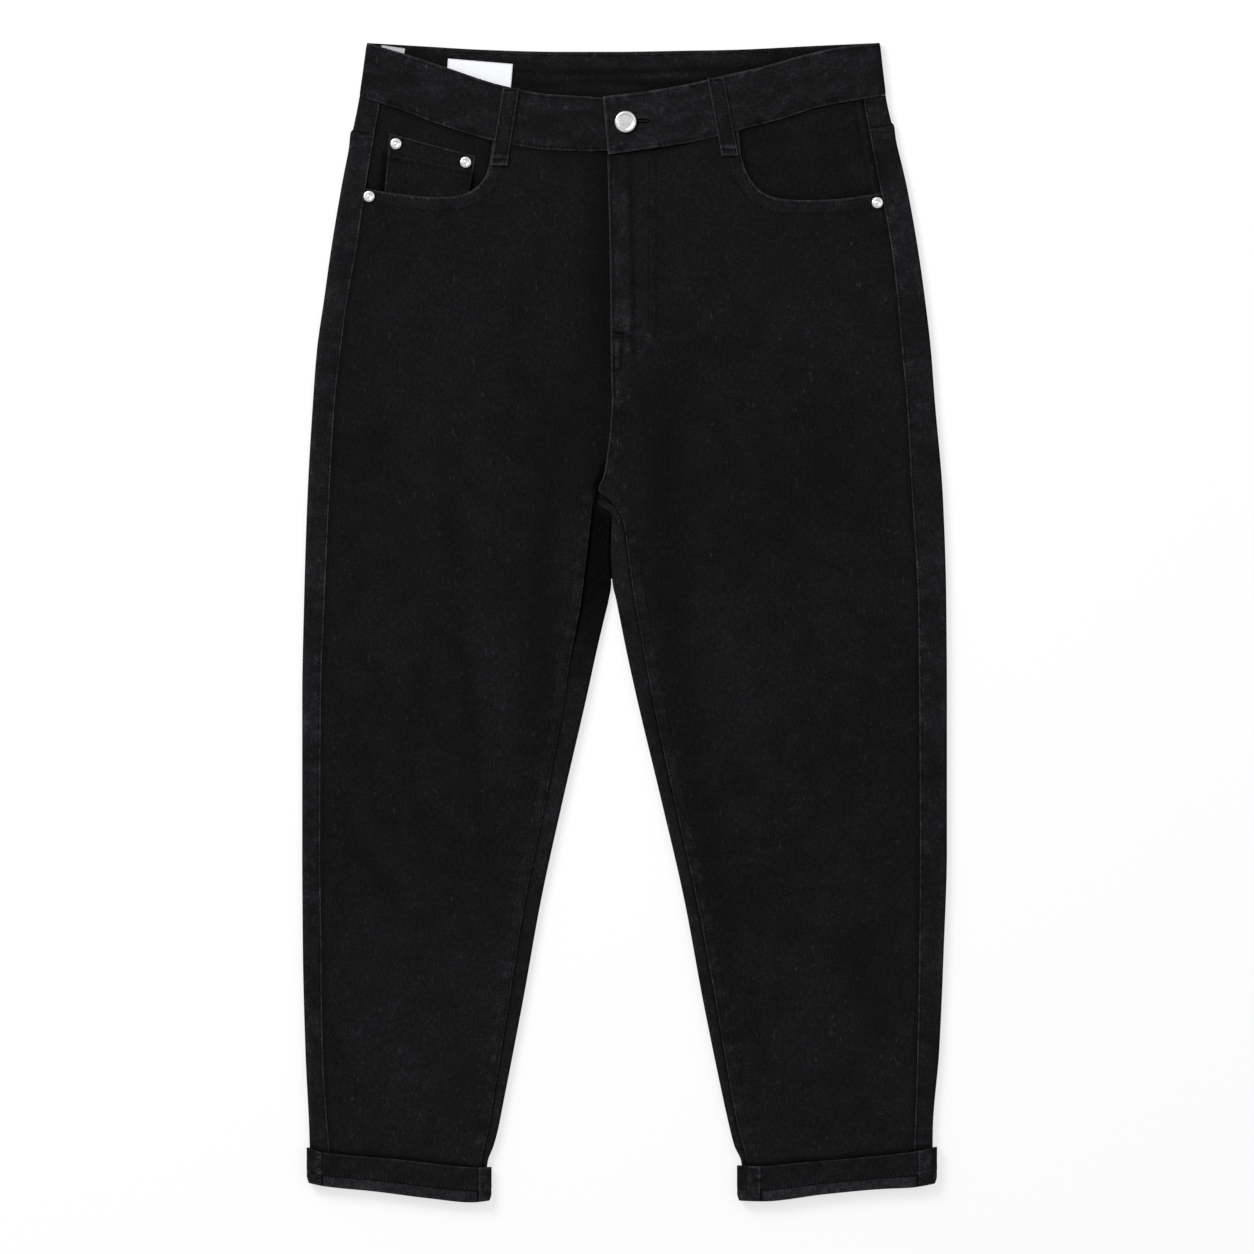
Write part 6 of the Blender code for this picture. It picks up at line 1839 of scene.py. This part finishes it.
sewing = Sewing("stitches_belt_loops")
for name, (top, low) in FRONT_LOOPS.items():
    for side in (-1.0, 1.0):
        inset = side * (LOOP_WIDTH / 2 - LOOP_INSET)
        ends = ((top[0] + inset, top[1] - 1.0), (low[0] + inset, low[1] + 1.0))
        sewing.row(loops[name], ends, pitch=SMALL_PITCH)
    for share in LOOP_TACKS:
        x, y = mix(top[0], low[0], share), mix(top[1], low[1], share)
        sewing.tack(loops[name], (x - LOOP_TACK_HALF, y), (x + LOOP_TACK_HALF, y))
for name, centre in BACK_LOOPS.items():
    for side in (-1.0, 1.0):
        x, y = centre + side * (LOOP_WIDTH / 2 - LOOP_INSET), float(WAIST_BACK(centre))
        ends = ((x, y + 40.0), (x, y - 11.0))
        sewing.row(back_loops[name], ends, pitch=SMALL_PITCH, from_below=True)
sewing.finish()

sewing = Sewing("stitches_cuffs")
for name, cuff in CUFFS.items():
    top_line, bottom_line = curve(cuff["top"]), curve(cuff["bottom"])
    (_, tab_b), (tab_c, _) = cuff["tabs"]
    for from_below in (False, True):
        x = evenly(tab_b + 1.0, tab_c - 1.0, SPREAD)
        line = np.stack([x, mix(top_line(x), bottom_line(x), CUFF_GROOVE - 0.05)], axis=1)
        sewing.row(cuffs[name], line, from_below=from_below)
        for x in (tab_b - CUFF_TAB_ROW, tab_c + CUFF_TAB_ROW):
            ends = [(x, float(mix(top_line(x), bottom_line(x), share))) for share in (0.05, 0.96)]
            sewing.row(cuffs[name], ends, from_below=from_below)
sewing.finish()

# %% [markdown]
# ## Buttonhole
# A buttonhole is a slit whose edges are bound with stitches side by side. It ends in a small eye,
# where the stitches fan out.

# %% Buttonhole
HOLE_PITCH = 0.55
HOLE_HALF = 1.25         # from the slit to the middle of a binding stitch
EYE_ANGLES = np.linspace(-1.2, 1.2, 7)

sewing = Sewing("buttonhole")
for x in np.arange(HOLE[0], HOLE[1], HOLE_PITCH):
    for side in (-1.0, 1.0):
        sewing.add(waistband, x, HOLE[2] + side * HOLE_HALF, (0.0, 1.0))
for angle in EYE_ANGLES:
    way = (math.cos(angle), math.sin(angle))
    sewing.add(waistband, HOLE[1] + HOLE_HALF * way[0], HOLE[2] + HOLE_HALF * way[1], way)
sewing.finish()

# %% [markdown]
# ## Zip
# The zip lies hidden behind the fly: two tapes side by side, drawn as one strip, with metal teeth
# that mesh along the middle.

# %% Zip
ZIP_ENDS = (358.0, 216.0)
ZIP_ASIDE = 2.0          # from the right front's inner edge to the middle of the zip
TAPE_HALF_WIDTH = 12.0
TAPE_HALF = 0.35         # half of the tape's thickness
TAPE_DROP = 0.6          # from the cloth above it to the tape's middle
TOOTH_PITCH = 1.7
TOOTH_ASIDE = 0.9
zip_y = np.linspace(*ZIP_ENDS, 60)
zip_centre = RIGHT.inner_seam(zip_y) + ZIP_ASIDE
near_zip = [front_mid(RIGHT, zip_centre + aside, zip_y) for aside in (-4.0, 0.0, 4.0)]
zip_mid = np.min(near_zip, axis=0) - LAP - CLOTH - GAP - TAPE_DROP
zip_x = zip_centre[:, None] + np.linspace(-TAPE_HALF_WIDTH, TAPE_HALF_WIDTH, 13)
zip_grid = np.stack(np.broadcast_arrays(zip_x, zip_y[:, None], zip_mid[:, None]), axis=2)
tape = shell("zip_tape", zip_grid, TAPE_HALF, tone=0.5, under=0.5, rim=0.15)
tape_weave = woven("zip_tape_weave", (0.012, 0.012, 0.013), (0.008, 0.008, 0.009))
dress(tape, tape_weave, "zip_tape", "zip", ["floor"], (0.024, 0.142))
tooth_metal = new_material("zip_teeth", (0.55, 0.54, 0.52), 0.4, metallic=1.0)[0]
tooth = template_from((1.9, 0.62, 0.48), segments=8, ring_count=5)
tooth_y = np.arange(ZIP_ENDS[0] - 4.0, ZIP_ENDS[1] + 4.0, -TOOTH_PITCH)
tooth_side = np.where(np.arange(len(tooth_y)) % 2 == 0, -TOOTH_ASIDE, TOOTH_ASIDE)
tooth_spots = np.stack([RIGHT.inner_seam(tooth_y) + ZIP_ASIDE + tooth_side, tooth_y,
                        np.interp(-tooth_y, -zip_y, zip_mid)], axis=1)
across_zip = np.tile((1.0, 0.0, 0.0), (len(tooth_y), 1))
upwards = np.tile((0.0, 0.0, 1.0), (len(tooth_y), 1))
join_copies("zip_teeth", tooth, tooth_spots, across_zip, upwards, tooth_metal)

# %% [markdown]
# ## Button and rivets
# These are turned and pressed metal, so each is a half profile spun round its axis: a rolled rim
# round a sunk face on the button, a ring and a burr on each rivet.

# %% Button and rivets
BUTTON_PROFILE = ((7.2, 0.0), (8.1, 0.5), (8.55, 1.1), (8.6, 1.7), (8.4, 2.3), (8.0, 2.8), (7.5, 3.1),
                  (7.0, 3.2), (6.4, 3.1), (5.9, 2.8), (5.5, 2.55), (4.8, 2.5), (3.2, 2.62), (1.6, 2.7),
                  (0.0, 2.72))
RIVET_PROFILE = ((4.2, 0.0), (4.45, 0.35), (4.5, 0.7), (4.3, 1.15), (3.9, 1.5), (3.3, 1.75), (2.7, 1.8),
                 (2.2, 1.7), (1.85, 1.5), (1.6, 1.3), (1.35, 1.3), (1.2, 1.5), (0.9, 1.72), (0.5, 1.82),
                 (0.0, 1.85))
RIVETS = ((-178.2, 373.2), (-123.9, 358.8), (-199.1, 332.1), (197.0, 327.2))
BUTTON = (0.8, 390.1)
SPIN_STEPS = 56
METAL_CLEAR = 0.05       # metal stands this far above the cloth
RIVET_REACH = (-3.0, 0.0, 3.0)      # where the cloth under a rivet is measured


def brushed(name, colour, roughness):
    """Nickel plate with fine uneven tarnish."""
    made, tree, shader = new_material(name, colour, roughness, metallic=1.0)
    place = tree.nodes.new("ShaderNodeTexCoord").outputs["Object"]
    cloud = pattern(tree, "Noise", place, 700.0, Detail=3.0)
    rough = math_node(tree, "MULTIPLY_ADD", cloud, 0.22, roughness - 0.10)
    tree.links.new(rough, shader.inputs["Roughness"])
    add_relief(tree, shader, cloud, 0.00003, 0.4)
    return made


def turn(name, profile, place, material, node):
    """Spins a half profile of (radius, height) round an upright axis, closed at the bottom."""
    mesh = bpy.data.meshes.new(name)
    line = [(0.0, 0.0)] + list(profile)
    mesh.from_pydata([(radius * MM, 0.0, height * MM) for radius, height in line],
                     [(k, k + 1) for k in range(len(line) - 1)], [])
    piece = bpy.data.objects.new(name, mesh)
    bpy.context.scene.collection.objects.link(piece)
    activate(piece)
    bpy.ops.object.mode_set(mode="EDIT")
    bpy.ops.mesh.select_all(action="SELECT")
    bpy.ops.mesh.spin(steps=SPIN_STEPS, angle=2.0 * math.pi, center=(0.0, 0.0, 0.0), axis=(0.0, 0.0, 1.0))
    bpy.ops.mesh.select_all(action="SELECT")
    bpy.ops.mesh.remove_doubles(threshold=0.000001)
    bpy.ops.mesh.normals_make_consistent(inside=False)
    bpy.ops.transform.translate(value=[value * MM for value in place])
    bpy.ops.object.mode_set(mode="OBJECT")
    piece.data.shade_smooth()
    piece.data.materials.append(material)
    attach(piece, "root")
    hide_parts(node)


nickel = brushed("brushed_nickel", (0.88, 0.865, 0.845), 0.34)
button_top, _ = cast(waistband, *BUTTON)
turn("jeans_button", BUTTON_PROFILE, (*BUTTON, button_top[2] + METAL_CLEAR), nickel, "button")
for number, (x, y) in enumerate(RIVETS, start=1):
    below = coin_pocket if number <= 2 else fronts["right" if x < 0.0 else "left"]
    around = [cast(below, x + dx, y + dy)[0] for dx in RIVET_REACH for dy in RIVET_REACH]
    height = max(spot[2] for spot in around if spot is not None) + METAL_CLEAR
    turn("rivet_%d_metal" % number, RIVET_PROFILE, (x, y, height), nickel, "rivet_%d" % number)

# %% Finish
low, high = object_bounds()
print("dressed box, mm:", [round((b - a) / MM, 1) for a, b in zip(low, high)])
